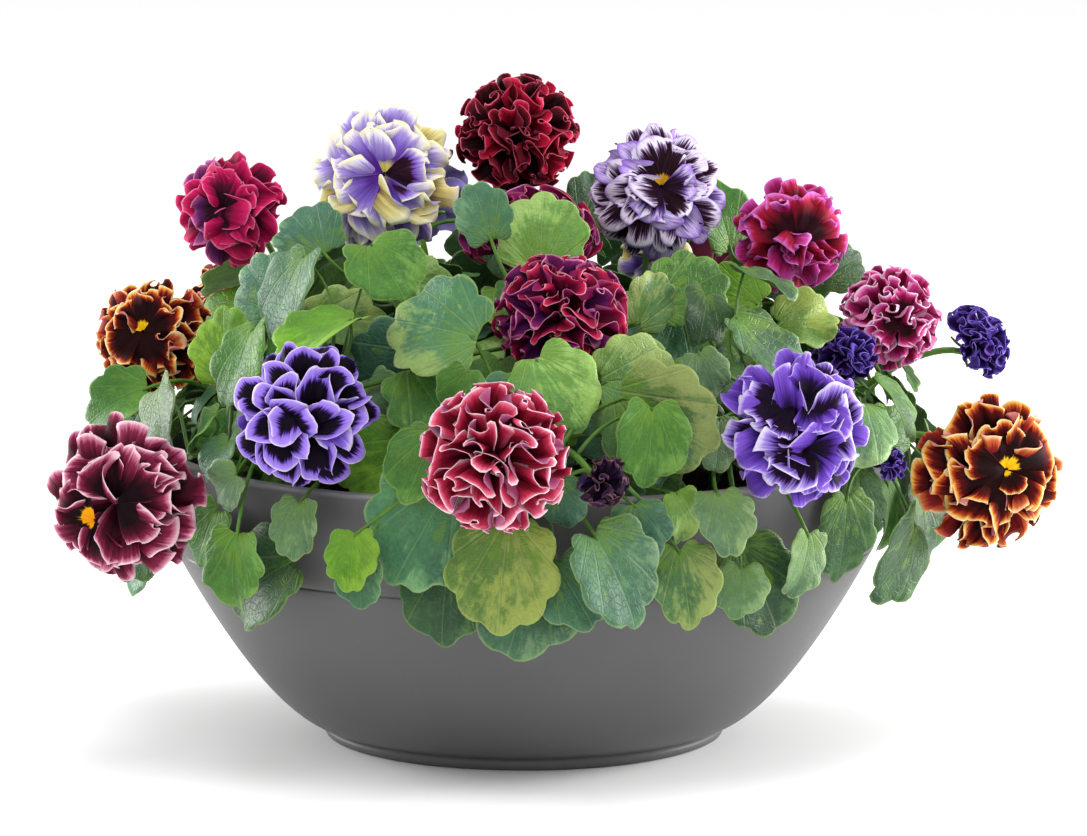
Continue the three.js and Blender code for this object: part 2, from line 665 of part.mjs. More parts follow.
// A named mesh of a solid in its own colour.
function meshOf(name, solid, colour, roughness) {
  const material = new THREE.MeshStandardMaterial({ color: colour, roughness, metalness: 0, flatShading: true });
  const mesh = new THREE.Mesh(geometryOf(solid), material);
  mesh.name = name;
  return mesh;
}

const planter = new THREE.Group();
planter.name = "potted_pansy_planter";
planter.add(meshOf("bowl", bowlSolid(), "#5b5a5c", 0.45));
planter.add(meshOf("soil", soilSolid(), "#2a1d14", 1));

const leaves = placeLeaves();
plants.forEach((plant, owner) => {
  planter.add(meshOf(plant.name, plantSolid(plant, owner, leaves), "#4f8050", 0.6));
});

const petalRandom = randomFrom(7);
for (const bloom of blooms) {
  const mesh = meshOf(bloom.name, bloomSolid(bloom, petalRandom), varietyColours[bloom.variety], 0.7);
  mesh.quaternion.setFromUnitVectors(vector(0, 0, 1), facing(bloom));
  mesh.position.set(...bloom.at);
  planter.add(mesh);
}

export default planter;
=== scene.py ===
import math
from collections import namedtuple

import bpy
import numpy as np
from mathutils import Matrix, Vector


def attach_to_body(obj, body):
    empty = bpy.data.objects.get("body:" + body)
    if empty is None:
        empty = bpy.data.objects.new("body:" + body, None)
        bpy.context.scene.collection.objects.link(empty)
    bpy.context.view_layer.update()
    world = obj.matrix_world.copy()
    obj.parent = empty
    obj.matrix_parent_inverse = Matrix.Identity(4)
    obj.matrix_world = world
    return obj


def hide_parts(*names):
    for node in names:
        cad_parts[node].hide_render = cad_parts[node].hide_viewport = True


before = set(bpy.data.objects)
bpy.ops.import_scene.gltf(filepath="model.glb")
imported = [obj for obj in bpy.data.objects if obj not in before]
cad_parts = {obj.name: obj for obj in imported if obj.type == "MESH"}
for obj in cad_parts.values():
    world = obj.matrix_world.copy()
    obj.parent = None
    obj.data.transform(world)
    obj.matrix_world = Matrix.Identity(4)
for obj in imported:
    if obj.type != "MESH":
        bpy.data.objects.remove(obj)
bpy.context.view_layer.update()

# The studio: a white paper floor, one broad light above and in front, and a soft box on each side, a little
# behind the planter, that brightens its edges. A long lens looks at it from well back and a little above.
LENS_MM, SENSOR_MM, VIEW_DEPTH = 209.0, 36.0, 50.0
CAMERA_AT = (0.010, -3.200, 0.670)
CAMERA_AIM = (0.010, 0.0, 0.163)
FLOOR_SIDE, FLOOR_DROP = 9.0, 0.0002
PAPER_TONE, PAPER_ROUGHNESS, PAPER_SHINE = 0.97, 0.9, 0.1
SKY_STRENGTH = 1.0

scene = bpy.context.scene
scene.view_settings.view_transform = "Standard"

camera = bpy.data.objects.new("camera", bpy.data.cameras.new("camera"))
scene.collection.objects.link(camera)
camera.location = CAMERA_AT
camera.rotation_euler = (Vector(CAMERA_AIM) - Vector(CAMERA_AT)).to_track_quat("-Z", "Y").to_euler()
camera.data.lens = LENS_MM
camera.data.sensor_width = SENSOR_MM
camera.data.clip_end = VIEW_DEPTH
scene.camera = camera

world = bpy.data.worlds.new("studio_air")
scene.world = world
world.use_nodes = True
world.node_tree.nodes["Background"].inputs["Color"].default_value = (1.0, 1.0, 1.0, 1.0)
world.node_tree.nodes["Background"].inputs["Strength"].default_value = SKY_STRENGTH


def softbox(name, place, aim, size, watts):
    """A square area light that points at a spot."""
    light = bpy.data.objects.new(name, bpy.data.lights.new(name, "AREA"))
    light.data.size = size
    light.data.energy = watts
    light.location = place
    light.rotation_euler = (Vector(aim) - Vector(place)).to_track_quat("-Z", "Y").to_euler()
    scene.collection.objects.link(light)


softbox("light_overhead", place=(-0.1, -1.1, 2.2), aim=(0.0, 0.0, 0.15), size=1.0, watts=17.0)
softbox("light_left", place=(-1.75, 1.0, 0.45), aim=(0.0, 0.0, 0.1), size=0.9, watts=36.0)
softbox("light_right", place=(1.85, 0.55, 0.5), aim=(0.0, 0.0, 0.1), size=0.9, watts=56.0)


def node_tree_of(material):
    """The empty node tree of a material, with a Principled shader joined to its output."""
    material.use_nodes = True
    tree = material.node_tree
    tree.nodes.clear()
    shader = tree.nodes.new("ShaderNodeBsdfPrincipled")
    output = tree.nodes.new("ShaderNodeOutputMaterial")
    tree.links.new(shader.outputs["BSDF"], output.inputs["Surface"])
    return tree, shader


paper = bpy.data.materials.new("white_paper")
_, paper_shader = node_tree_of(paper)
paper_shader.inputs["Base Color"].default_value = (PAPER_TONE, PAPER_TONE, PAPER_TONE, 1.0)
paper_shader.inputs["Roughness"].default_value = PAPER_ROUGHNESS
paper_shader.inputs["Specular IOR Level"].default_value = PAPER_SHINE

floor_mesh = bpy.data.meshes.new("studio_floor")
half = FLOOR_SIDE / 2
floor_corners = [(-half, -half, 0), (half, -half, 0), (half, half, 0), (-half, half, 0)]
floor_mesh.from_pydata(floor_corners, [], [(0, 1, 2, 3)])
floor_mesh.materials.append(paper)
studio_floor = bpy.data.objects.new("studio_floor", floor_mesh)
scene.collection.objects.link(studio_floor)
studio_floor.location.z = -FLOOR_DROP

# The bowl: one injection-moulded shell of dark grey matt plastic, turned in outline. It has a short foot
# ring, a belly, a thin parting step where a band stands about 1 mm proud below the rim, a rounded rim with a
# flat lip inside, and four drain holes through its floor. The pieces' sizes are in millimetres, from here on.
MM = 0.001
FOOT_RADIUS, FOOT_HEIGHT = 103.0, 5.5
BELLY_RADIUS, BELLY_HEIGHT, BELLY_CURVE = 105.0, 7.0, 0.66
SEAM_RADIUS, SEAM_HEIGHT, SEAM_STEP = 181.0, 101.0, 0.8
RIM_RADIUS, RIM_ROUND, BOWL_HEIGHT, BAND_CURVE = 190.0, 2.0, 152.0, 0.85
WALL, LIP_WIDTH, FLOOR_THICKNESS = 3.6, 9.0, 10.0
CORNER_HEIGHT, CORNER_WIDTH = 20.0, 12.0
DRAIN_RADIUS, DRAIN_RING, DRAIN_COUNT = 6.0, 60.0, 4
DRAIN_SIDES, DRILL_REACH = 32, 20.0
BOWL_SIDES = 192
FIT_GAP = 0.35
# The belly is darkened with painted shade below a height, and the rim's top is lightened with a painted
# highlight above one, in metres, as the plastic reads them.
PAINTED_SHADE_BELOW, RIM_HIGHLIGHT_FROM, RIM_HIGHLIGHT_TO = 0.075, 0.1505, 0.1535


def outer_radius(height):
    """The bowl's outer radius at a height, in millimetres."""
    height = np.asarray(height, float)
    belly = np.clip((height - BELLY_HEIGHT) / (SEAM_HEIGHT - BELLY_HEIGHT), 0, None)
    band = np.clip((height - SEAM_HEIGHT) / (BOWL_HEIGHT - SEAM_HEIGHT), 0, 1)
    low = BELLY_RADIUS + (SEAM_RADIUS - BELLY_RADIUS) * belly**BELLY_CURVE
    high = SEAM_RADIUS + (RIM_RADIUS - SEAM_RADIUS) * band**BAND_CURVE
    return np.where(height <= SEAM_HEIGHT, low, high)


def inner_radius(height):
    """The inner radius, which keeps the same wall and never reaches under the lip."""
    slope = outer_radius(height + 1) - outer_radius(height - 1)
    return min(float(outer_radius(height) - WALL * math.hypot(1, slope / 2)), RIM_RADIUS - LIP_WIDTH)


def piece_of(name, points, faces, material, stands_for, attributes=None):
    """A named piece on the planter's one body, from points in millimetres and lists of faces of equal
    size."""
    mesh = bpy.data.meshes.new(name)
    faces = [np.asarray(group, np.int32) for group in faces]
    sizes = np.concatenate([np.full(len(group), group.shape[1], np.int32) for group in faces])
    corners = np.concatenate([group.ravel() for group in faces])
    mesh.vertices.add(len(points))
    mesh.vertices.foreach_set("co", (np.asarray(points, float) * MM).astype(np.float32).ravel())
    mesh.loops.add(len(corners))
    mesh.loops.foreach_set("vertex_index", corners)
    mesh.polygons.add(len(sizes))
    mesh.polygons.foreach_set("loop_start", np.concatenate([[0], np.cumsum(sizes)[:-1]]).astype(np.int32))
    mesh.polygons.foreach_set("use_smooth", np.full(len(sizes), True))
    for key, values in (attributes or {}).items():
        layer = mesh.attributes.new(key, "FLOAT_VECTOR", "POINT")
        layer.data.foreach_set("vector", np.asarray(values, np.float32).ravel())
    mesh.materials.append(material)
    mesh.update()
    mesh.validate()
    piece = bpy.data.objects.new(name, mesh)
    scene.collection.objects.link(piece)
    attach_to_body(piece, "root")
    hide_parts(*stands_for)
    return piece


def ring_faces(rings, sides):
    """Faces between rings of points, closed by fans to the two points that come after all the rings."""
    here = np.arange(sides)
    there = (here + 1) % sides
    quads = [
        np.column_stack([low + here, low + there, low + sides + there, low + sides + here])
        for low in range(0, (rings - 1) * sides, sides)
    ]
    first, end = rings * sides, (rings - 1) * sides
    fans = [
        np.column_stack([there, here, np.full(sides, first)]),
        np.column_stack([end + here, end + there, np.full(sides, first + 1)]),
    ]
    return [np.concatenate(quads), np.concatenate(fans)]


def turned(outline, sides):
    """Points and faces of an outline of (radius, height) turned about the upright axis. It starts and ends on
    the axis, going round so that the faces look outwards."""
    angles = np.arange(sides) * 2 * math.pi / sides
    ring = np.stack([np.cos(angles), np.sin(angles)], 1)
    inner = np.array(outline[1:-1], float)
    walls = np.concatenate([np.column_stack([ring * r, np.full(sides, z)]) for r, z in inner])
    points = np.vstack([walls, [[0, 0, outline[0][1]], [0, 0, outline[-1][1]]]])
    return points, ring_faces(len(inner), sides)


def bowl_outline():
    """From the middle of the bowl's underside up the outside, over the rim and down the inside."""
    # Two shallow rings are moulded into the underside.
    underside = [(0, 0), (34, 0), (35, 0.5), (38, 0.5), (39, 0), (82, 0), (83, 0.6), (87, 0.6), (88, 0)]
    foot = [(FOOT_RADIUS - 2, 0), (FOOT_RADIUS - 0.6, 0.6), (FOOT_RADIUS, 2)]
    foot += [(FOOT_RADIUS, FOOT_HEIGHT - 1.5), (FOOT_RADIUS - 0.4, FOOT_HEIGHT - 0.3)]
    foot += [(FOOT_RADIUS + 0.2, FOOT_HEIGHT + 0.4)]
    # The belly's rings lie closer together near the foot, where it curves most.
    climb = np.linspace(0, 1, 30) ** 1.7
    belly = [(float(outer_radius(h)), h) for h in BELLY_HEIGHT + climb * (SEAM_HEIGHT - 1.2 - BELLY_HEIGHT)]
    seam = [(SEAM_RADIUS - SEAM_STEP, SEAM_HEIGHT - 0.5), (SEAM_RADIUS - SEAM_STEP - 0.5, SEAM_HEIGHT)]
    seam += [(SEAM_RADIUS - 0.25, SEAM_HEIGHT + 0.35), (SEAM_RADIUS + 0.15, SEAM_HEIGHT + 0.9)]
    band = [(float(outer_radius(h)), h) for h in np.linspace(SEAM_HEIGHT + 2.5, BOWL_HEIGHT - 4, 12)]
    rim = [
        (RIM_RADIUS - RIM_ROUND + RIM_ROUND * math.cos(a), BOWL_HEIGHT - RIM_ROUND + RIM_ROUND * math.sin(a))
        for a in np.linspace(-0.2, math.pi / 2, 7)
    ]
    lip = [(RIM_RADIUS - LIP_WIDTH + 1, BOWL_HEIGHT), (RIM_RADIUS - LIP_WIDTH + 0.3, BOWL_HEIGHT - 0.3)]
    inside = [(inner_radius(h), h) for h in (150, 135, 118, 96, 76, 60, 44, 30, CORNER_HEIGHT)]
    bottom = [(inner_radius(CORNER_HEIGHT) - CORNER_WIDTH, FLOOR_THICKNESS), (0, FLOOR_THICKNESS)]
    return underside + foot + belly + seam + band + rim + lip + inside + bottom


def paint(code):
    """The linear colour of a web colour such as #5a5a5b."""
    values = [int(code[i : i + 2], 16) / 255 for i in (1, 3, 5)]
    return tuple(v / 12.92 if v <= 0.04045 else ((v + 0.055) / 1.055) ** 2.4 for v in values)


def socket_colour(colour):
    """What a shader's socket takes, from a web colour, a grey level or three linear values."""
    if isinstance(colour, str):
        colour = paint(colour)
    elif isinstance(colour, float):
        colour = (colour,) * 3
    return (*colour, 1.0)


def ramp_node(tree, stops, factor):
    """A colour ramp with stops of (place, colour)."""
    ramp = tree.nodes.new("ShaderNodeValToRGB")
    elements = ramp.color_ramp.elements
    while len(elements) < len(stops):
        elements.new(0.5)
    for element, (place, colour) in zip(elements, stops):
        element.position = place
        element.color = socket_colour(colour)
    tree.links.new(factor, ramp.inputs["Fac"])
    return ramp.outputs["Color"]


def noise_node(tree, scale, detail=3.0, vector=None, roughness=0.5):
    """A noise texture's value, on the object's own place unless a vector is given."""
    noise = tree.nodes.new("ShaderNodeTexNoise")
    noise.inputs["Scale"].default_value = scale
    noise.inputs["Detail"].default_value = detail
    noise.inputs["Roughness"].default_value = roughness
    if vector is None:
        vector = tree.nodes.new("ShaderNodeTexCoord").outputs["Object"]
    tree.links.new(vector, noise.inputs["Vector"])
    return noise.outputs["Fac"]


def math_node(tree, operation, *values, clamp=False):
    """A math node's value. Each input is a number or another node's output."""
    node = tree.nodes.new("ShaderNodeMath")
    node.operation = operation
    node.use_clamp = clamp
    for socket, value in zip(node.inputs, values):
        if isinstance(value, (int, float)):
            socket.default_value = value
        else:
            tree.links.new(value, socket)
    return node.outputs["Value"]


def plus(tree, first, second):
    """Two values added."""
    return math_node(tree, "ADD", first, second)


def minus(tree, first, second):
    """The second value taken from the first."""
    return math_node(tree, "SUBTRACT", first, second)


def times(tree, first, second):
    """Two values multiplied."""
    return math_node(tree, "MULTIPLY", first, second)


def split_node(tree, vector):
    """A vector's three values."""
    node = tree.nodes.new("ShaderNodeSeparateXYZ")
    tree.links.new(vector, node.inputs["Vector"])
    return node.outputs["X"], node.outputs["Y"], node.outputs["Z"]


def step_node(tree, value, low, high):
    """0 below low and 1 above high, with a smooth rise between them."""
    node = tree.nodes.new("ShaderNodeMapRange")
    node.interpolation_type = "SMOOTHSTEP"
    tree.links.new(value, node.inputs["Value"])
    node.inputs["From Min"].default_value = low
    node.inputs["From Max"].default_value = high
    return node.outputs["Result"]


def mix_node(tree, share, first, second, blend="MIX"):
    """Two colours mixed. Each is a colour or another node's output, and share is a number or an output."""
    node = tree.nodes.new("ShaderNodeMix")
    node.data_type = "RGBA"
    node.blend_type = blend
    sockets = [s for s in node.inputs if s.type == "RGBA"]
    for socket, value in zip(sockets, (first, second)):
        if isinstance(value, (str, tuple)):
            socket.default_value = socket_colour(value)
        else:
            tree.links.new(value, socket)
    if isinstance(share, (int, float)):
        node.inputs["Factor"].default_value = share
    else:
        tree.links.new(share, node.inputs["Factor"])
    return next(s for s in node.outputs if s.type == "RGBA")


def laid_over(tree, shade, mask, share, colour):
    """A shade with a colour laid over it where the mask is 1, as far as share says."""
    return mix_node(tree, times(tree, mask, share), shade, colour)


def varied(tree, shade, share, stops, factor):
    """A shade multiplied by a ramp of tones, as far as share says."""
    return mix_node(tree, share, shade, ramp_node(tree, stops, factor), "MULTIPLY")


def bump_node(tree, height, depth, strength=1.0):
    """A bump normal from a height, with its depth in metres."""
    bump = tree.nodes.new("ShaderNodeBump")
    bump.inputs["Distance"].default_value = depth
    bump.inputs["Strength"].default_value = strength
    tree.links.new(height, bump.inputs["Height"])
    return bump.outputs["Normal"]


def bowl_plastic():
    """Dark grey plastic with a fine spark-eroded grain and faint cloudy mould marks, with painted shade on
    its lower belly and a painted highlight on its rim's top.
    """
    material = bpy.data.materials.new("matt_grey_plastic")
    tree, shader = node_tree_of(material)
    place = tree.nodes.new("ShaderNodeTexCoord").outputs["Object"]
    _, _, height = split_node(tree, place)
    cloud = noise_node(tree, 9.0, 4.0, place)
    body = ramp_node(tree, [(0.3, "#4e4d4e"), (0.7, "#565556")], cloud)
    # Painted shade: below a height the belly is darkened towards a brownish grey.
    low = step_node(tree, height, PAINTED_SHADE_BELOW, 0.0)
    toned = laid_over(tree, body, low, 0.35, "#3a3533")
    # Painted highlight: the rim's top is lightened towards a pale grey.
    rim_highlight = step_node(tree, plus(tree, height, times(tree, cloud, 0.002)), RIM_HIGHLIGHT_FROM, RIM_HIGHLIGHT_TO)
    toned = laid_over(tree, toned, rim_highlight, 0.6, "#a9a6ab")
    tree.links.new(toned, shader.inputs["Base Color"])
    grain = noise_node(tree, 900.0, 2.0, place)
    rough = tree.nodes.new("ShaderNodeMapRange")
    tree.links.new(grain, rough.inputs["Value"])
    rough.inputs["To Min"].default_value = 0.38
    rough.inputs["To Max"].default_value = 0.52
    tree.links.new(rough.outputs["Result"], shader.inputs["Roughness"])
    tree.links.new(bump_node(tree, grain, 0.00006, 0.5), shader.inputs["Normal"])
    shader.inputs["Specular IOR Level"].default_value = 0.45
    return material


def drill_drains(bowl):
    """Drills the drain holes through the bowl's floor."""
    outline = [(0, -DRILL_REACH), (DRAIN_RADIUS, -DRILL_REACH), (DRAIN_RADIUS, DRILL_REACH), (0, DRILL_REACH)]
    points, faces = turned(outline, DRAIN_SIDES)
    turns = [2 * math.pi * k / DRAIN_COUNT for k in range(DRAIN_COUNT)]
    drills = [points + [DRAIN_RING * math.cos(turn), DRAIN_RING * math.sin(turn), 0] for turn in turns]
    skins = [(group + k * len(points)).tolist() for group in faces for k in range(DRAIN_COUNT)]
    mesh = bpy.data.meshes.new("drain_cutter")
    mesh.from_pydata((np.vstack(drills) * MM).tolist(), [], [face for skin in skins for face in skin])
    cutter = bpy.data.objects.new("drain_cutter", mesh)
    scene.collection.objects.link(cutter)
    drilling = bowl.modifiers.new("drains", "BOOLEAN")
    drilling.operation = "DIFFERENCE"
    drilling.object = cutter
    drilling.solver = "EXACT"
    bpy.context.view_layer.update()
    drilled = bpy.data.meshes.new_from_object(bowl.evaluated_get(bpy.context.evaluated_depsgraph_get()))
    bowl.modifiers.clear()
    bowl.data = drilled
    bpy.data.objects.remove(cutter)


bowl_points, bowl_faces = turned(bowl_outline(), BOWL_SIDES)
drill_drains(piece_of("planter_bowl", bowl_points, bowl_faces, bowl_plastic(), ["bowl"]))

# The potting soil: dark peat and bark that fills the bowl to 21 mm below its rim. Its top is lumpy and sinks
# a little towards the wall, and loose crumbs and bark chips lie pressed into it.
SOIL_HEIGHT, SOIL_BUMP = 131.0, 2.2
SOIL_REACH, SOIL_SINK, LUMP_FADE = 179.0, 3.0, 8.0
SOIL_RINGS, SOIL_SIDES = 26, 96
CRUMBS, CRUMB_SIZES, CRUMB_REACH = 900, (0.9, 3.2), 178.0
CRUMB_FACES = np.array([(0, 3, 2, 1), (4, 5, 6, 7), (0, 1, 5, 4), (1, 2, 6, 5), (2, 3, 7, 6), (3, 0, 4, 7)])


def soil_lift(x, y):
    """How far the soil's top rises above its mean height: broad lumps with a finer tilth on them."""
    broad = SOIL_BUMP * np.sin(x / 17) * np.cos(y / 21)
    fine = 0.7 * np.sin(x / 4.1 + 1.3) * np.sin(y / 3.7) + 0.5 * np.sin(x / 2.3) * np.cos(y / 2.9 + 0.8)
    return broad + fine


def soil_mesh():
    """Points and faces of the soil body, which fits the bowl with a small gap."""
    bottom = FLOOR_THICKNESS + FIT_GAP
    last = inner_radius(CORNER_HEIGHT) - CORNER_WIDTH - FIT_GAP
    rise = [(inner_radius(h) - FIT_GAP - 0.2, h) for h in (CORNER_HEIGHT, 44, 60, 90, 118)]
    edge = inner_radius(SOIL_HEIGHT) - 2
    rings = np.linspace(1, 0, SOIL_RINGS, endpoint=False)
    top = [(edge * share, SOIL_HEIGHT - SOIL_SINK * share**6) for share in rings]
    points, faces = turned([(0, bottom), (last, bottom)] + rise + top + [(0, SOIL_HEIGHT)], SOIL_SIDES)
    upper = points[:, 2] > SOIL_HEIGHT - SOIL_SINK - 1
    fade = np.clip((edge - np.hypot(points[:, 0], points[:, 1])) / LUMP_FADE, 0, 1)
    points[:, 2] += np.where(upper, fade * soil_lift(points[:, 0], points[:, 1]), 0)
    return points, faces


def crumb(draw):
    """One crumb: a squashed, knobbly lump of eight corners and six faces."""
    size = draw.uniform(*CRUMB_SIZES) * np.array([1, draw.uniform(0.6, 1), draw.uniform(0.4, 0.8)])
    corners = np.array([[x, y, z] for z in (-1, 1) for x, y in ((-1, -1), (1, -1), (1, 1), (-1, 1))], float)
    corners = corners * size * draw.uniform(0.75, 1.2, (8, 1))
    turn = draw.uniform(0, 2 * math.pi)
    spin = np.array([[math.cos(turn), -math.sin(turn), 0], [math.sin(turn), math.cos(turn), 0], [0, 0, 1]])
    distance, angle = CRUMB_REACH * math.sqrt(draw.uniform(0, 1)), draw.uniform(0, 2 * math.pi)
    x, y = distance * math.cos(angle), distance * math.sin(angle)
    sink = SOIL_SINK * (distance / SOIL_REACH) ** 6
    return corners @ spin.T + [x, y, SOIL_HEIGHT - sink + float(soil_lift(x, y)) + 0.1 * size[2]]


def soil_matter():
    """Peat: near black and brown crumbs, with paler fibres."""
    material = bpy.data.materials.new("peat_and_bark")
    tree, shader = node_tree_of(material)
    coarse = noise_node(tree, 160.0, 6.0, roughness=0.7)
    fine = noise_node(tree, 700.0, 3.0)
    browns = [(0.3, "#120c08"), (0.52, "#2b1c12"), (0.62, "#4a3420"), (0.75, "#6b5236")]
    shade = varied(tree, ramp_node(tree, browns, coarse), 0.5, [(0.3, 0.2), (0.7, 1.0)], fine)
    tree.links.new(shade, shader.inputs["Base Color"])
    shader.inputs["Roughness"].default_value = 0.95
    shader.inputs["Specular IOR Level"].default_value = 0.2
    tree.links.new(bump_node(tree, coarse, 0.0015, 0.8), shader.inputs["Normal"])
    return material


soil_points, soil_faces = soil_mesh()
soil_draw = np.random.default_rng(3)
crumbs = np.vstack([crumb(soil_draw) for _ in range(CRUMBS)])
crumb_faces = np.concatenate([CRUMB_FACES + 8 * k + len(soil_points) for k in range(CRUMBS)])
soil_faces[0] = np.concatenate([soil_faces[0], crumb_faces])
soil_points = np.vstack([soil_points, crumbs])
piece_of("potting_soil", soil_points, soil_faces, soil_matter(), ["soil"])

# The plants: eighteen pansies, each with a short crown in the soil, fleshy flower stems that arch out to
# their blooms, and round, toothed leaves on thin stalks. They grew, so each plant is one piece.
CROWN_RADIUS, CROWN_TOP, CROWN_DEPTH = 4.2, 139.0, 16.0
STEM_RADIUS, STEM_STEPS, STEM_SINK, STEM_ARRIVAL, LEAST_RISE = 1.9, 5, 4.0, 26.0, 60.0
LOW_BLOOM, LOW_ARCH = 200.0, 20.0
PETIOLE_STEPS, PETIOLE_BEND, PETIOLE_MIDDLE, RIM_ARCH = 2, 0.45, 0.6, 22.0
BLADE_THICKNESS = 0.7
BLADE_MIDDLE, BLADE_REACH, BLADE_TAPER = 0.47, 0.53, 0.14
NOTCH_DEPTH, NOTCH_WIDTH, LOBE_DEPTH = 0.3, 0.4, 0.07
CORE_SHARE, BLOOM_DEPTH = 0.4, 0.8

# Every bloom: its name, variety, centre, diameter, turn from the front towards the right, and rise. The last
# two are in degrees.
Bloom = namedtuple("Bloom", "name variety centre size turn rise")
BLOOMS = [
    Bloom("magenta_left", "magenta", (-150, 30, 267), 60, -15, 5),
    Bloom("lavender_left", "lavender", (-71, 0, 286), 78, -8, 10),
    Bloom("dark_red_top", "dark_red", (-3, 20, 307), 64, 0, 15),
    Bloom("blotched_right", "blotched", (68, 0, 279), 71, 5, 5),
    Bloom("magenta_rim", "magenta_rimmed", (136, 10, 256), 60, 10, 5),
    Bloom("pink_rim", "pink_rimmed", (187, 0, 215), 55, 12, 5),
    Bloom("purple_side", "purple", (234, 40, 196), 42, 70, 35),
    Bloom("copper_right", "copper", (233, -60, 145), 80, 18, 0),
    Bloom("violet_front", "violet", (131, -155, 183), 78, 20, 10),
    Bloom("rose_front", "rose_rimmed", (-13, -224, 179), 75, -6, 15),
    Bloom("crimson_mid", "crimson", (19, -120, 232), 70, 5, 45),
    Bloom("purple_rim", "purple_rimmed", (-106, -162, 190), 73, -12, 14),
    Bloom("burgundy_left", "burgundy", (-194, -134, 145), 84, -25, 0),
    Bloom("copper_left", "copper", (-188, -10, 207), 63, -15, 5),
    Bloom("crimson_behind", "crimson", (3, -24, 257), 74, 180, 75),
    Bloom("withered", "withered", (38, -216, 166), 30, 40, -10),
    Bloom("purple_small", "purple", (163, -32, 199), 35, -20, 40),
    Bloom("purple_bud", "purple", (182, -102, 156), 19, 30, 30),
    Bloom("lilac_low", "lavender", (68, 40, 238), 40, 0, 10),
    Bloom("lavender_back", "lavender", (-62, 95, 262), 74, 200, 25),
    Bloom("rose_back", "rose_rimmed", (-22, 205, 178), 74, 184, 10),
    Bloom("burgundy_back", "burgundy", (98, 142, 214), 76, 150, 15),
    Bloom("copper_back", "copper", (-152, 142, 196), 70, 228, 10),
]

# Every plant: its name, where it is rooted, and the places in BLOOMS of the blooms that it carries.
Plant = namedtuple("Plant", "name root blooms")
PLANTS = [
    Plant("magenta_left", (-98, 22), (0,)),
    Plant("lavender_left", (-52, 6), (1,)),
    Plant("dark_red", (2, 44), (2,)),
    Plant("blotched_right", (58, 4), (3, 18)),
    Plant("magenta_rim", (106, 22), (4,)),
    Plant("pink_rim", (134, -14), (5, 16)),
    Plant("purple", (148, 44), (6,)),
    Plant("copper_right", (146, -54), (7, 17)),
    Plant("violet", (92, -96), (8,)),
    Plant("rose_front", (-6, -142), (9, 15)),
    Plant("crimson", (12, -62), (10, 14)),
    Plant("purple_rim", (-72, -100), (11,)),
    Plant("burgundy_left", (-122, -84), (12,)),
    Plant("copper_left", (-146, -20), (13,)),
    Plant("lavender_back", (-44, 88), (19,)),
    Plant("rose_back", (-16, 144), (20,)),
    Plant("burgundy_back", (78, 106), (21,)),
    Plant("copper_back", (-102, 92), (22,)),
]


def random_from(seed):
    """A repeatable stream of numbers from 0 to 1."""
    state = seed & 0xFFFFFFFF

    def draw():
        nonlocal state
        state = (state + 0x6D2B79F5) & 0xFFFFFFFF
        t = ((state ^ (state >> 15)) * (state | 1)) & 0xFFFFFFFF
        t ^= (t + (((t ^ (t >> 7)) * (t | 61)) & 0xFFFFFFFF)) & 0xFFFFFFFF
        return ((t ^ (t >> 14)) & 0xFFFFFFFF) / 4294967296

    return draw


def aim_of(turn, rise):
    """The unit vector that looks this many degrees round from the front, and this many up."""
    turn, rise = math.radians(turn), math.radians(rise)
    return np.array([math.sin(turn) * math.cos(rise), -math.cos(turn) * math.cos(rise), math.sin(rise)])


def unit(v):
    """A vector's direction, with a length of 1."""
    return v / math.sqrt(float(v @ v))


def bezier(p0, p1, p2, p3, t):
    """Points of a cubic curve at the shares t."""
    t = np.asarray(t, float)[:, None]
    k = 1 - t
    return k * k * k * p0 + 3 * k * k * t * p1 + 3 * k * t * t * p2 + t * t * t * p3


def spaced(curve, steps):
    """Points at even steps of length along a cubic curve, and its length."""
    shares = np.arange(201) / 200
    fine = bezier(*curve, shares)
    gone = np.concatenate([[0], np.cumsum(np.sqrt(((fine[1:] - fine[:-1]) ** 2).sum(1)))])
    at = np.interp(np.arange(steps + 1) / steps * gone[-1], gone, shares)
    return bezier(*curve, at), gone[-1]


def stem_curve(plant, bloom):
    """A flower stem rises from the crown, arches over and meets the back of its bloom's heart."""
    start = np.array([*plant.root, CROWN_TOP - STEM_SINK], float)
    ahead = aim_of(bloom.turn, bloom.rise)
    arrive = ahead * STEM_ARRIVAL
    if bloom.centre[2] < LOW_BLOOM:
        arrive[2] -= LOW_ARCH
    tilt = math.acos(max(-1.0, min(1.0, float(arrive @ ahead) / math.sqrt(float(arrive @ arrive)))))
    reach = bloom.size / 2 * CORE_SHARE * BLOOM_DEPTH + FIT_GAP + STEM_RADIUS * math.sin(tilt)
    end = np.array(bloom.centre, float) - ahead * reach
    rise = max(LEAST_RISE, end[2] - start[2])
    lead = np.array([*(start[:2] + (end[:2] - start[:2]) * 0.2), start[2] + 0.6 * rise])
    return start, lead, end - arrive, end


def stems_of(points_of):
    """The points that points_of gives for every flower stem's curve, and the plant that each belongs to."""
    rows = []
    for owner, plant in enumerate(PLANTS):
        rows += [(points_of(stem_curve(plant, BLOOMS[k])), owner) for k in plant.blooms]
    points = np.concatenate([row for row, _ in rows])
    return points, np.concatenate([np.full(len(row), owner) for row, owner in rows])


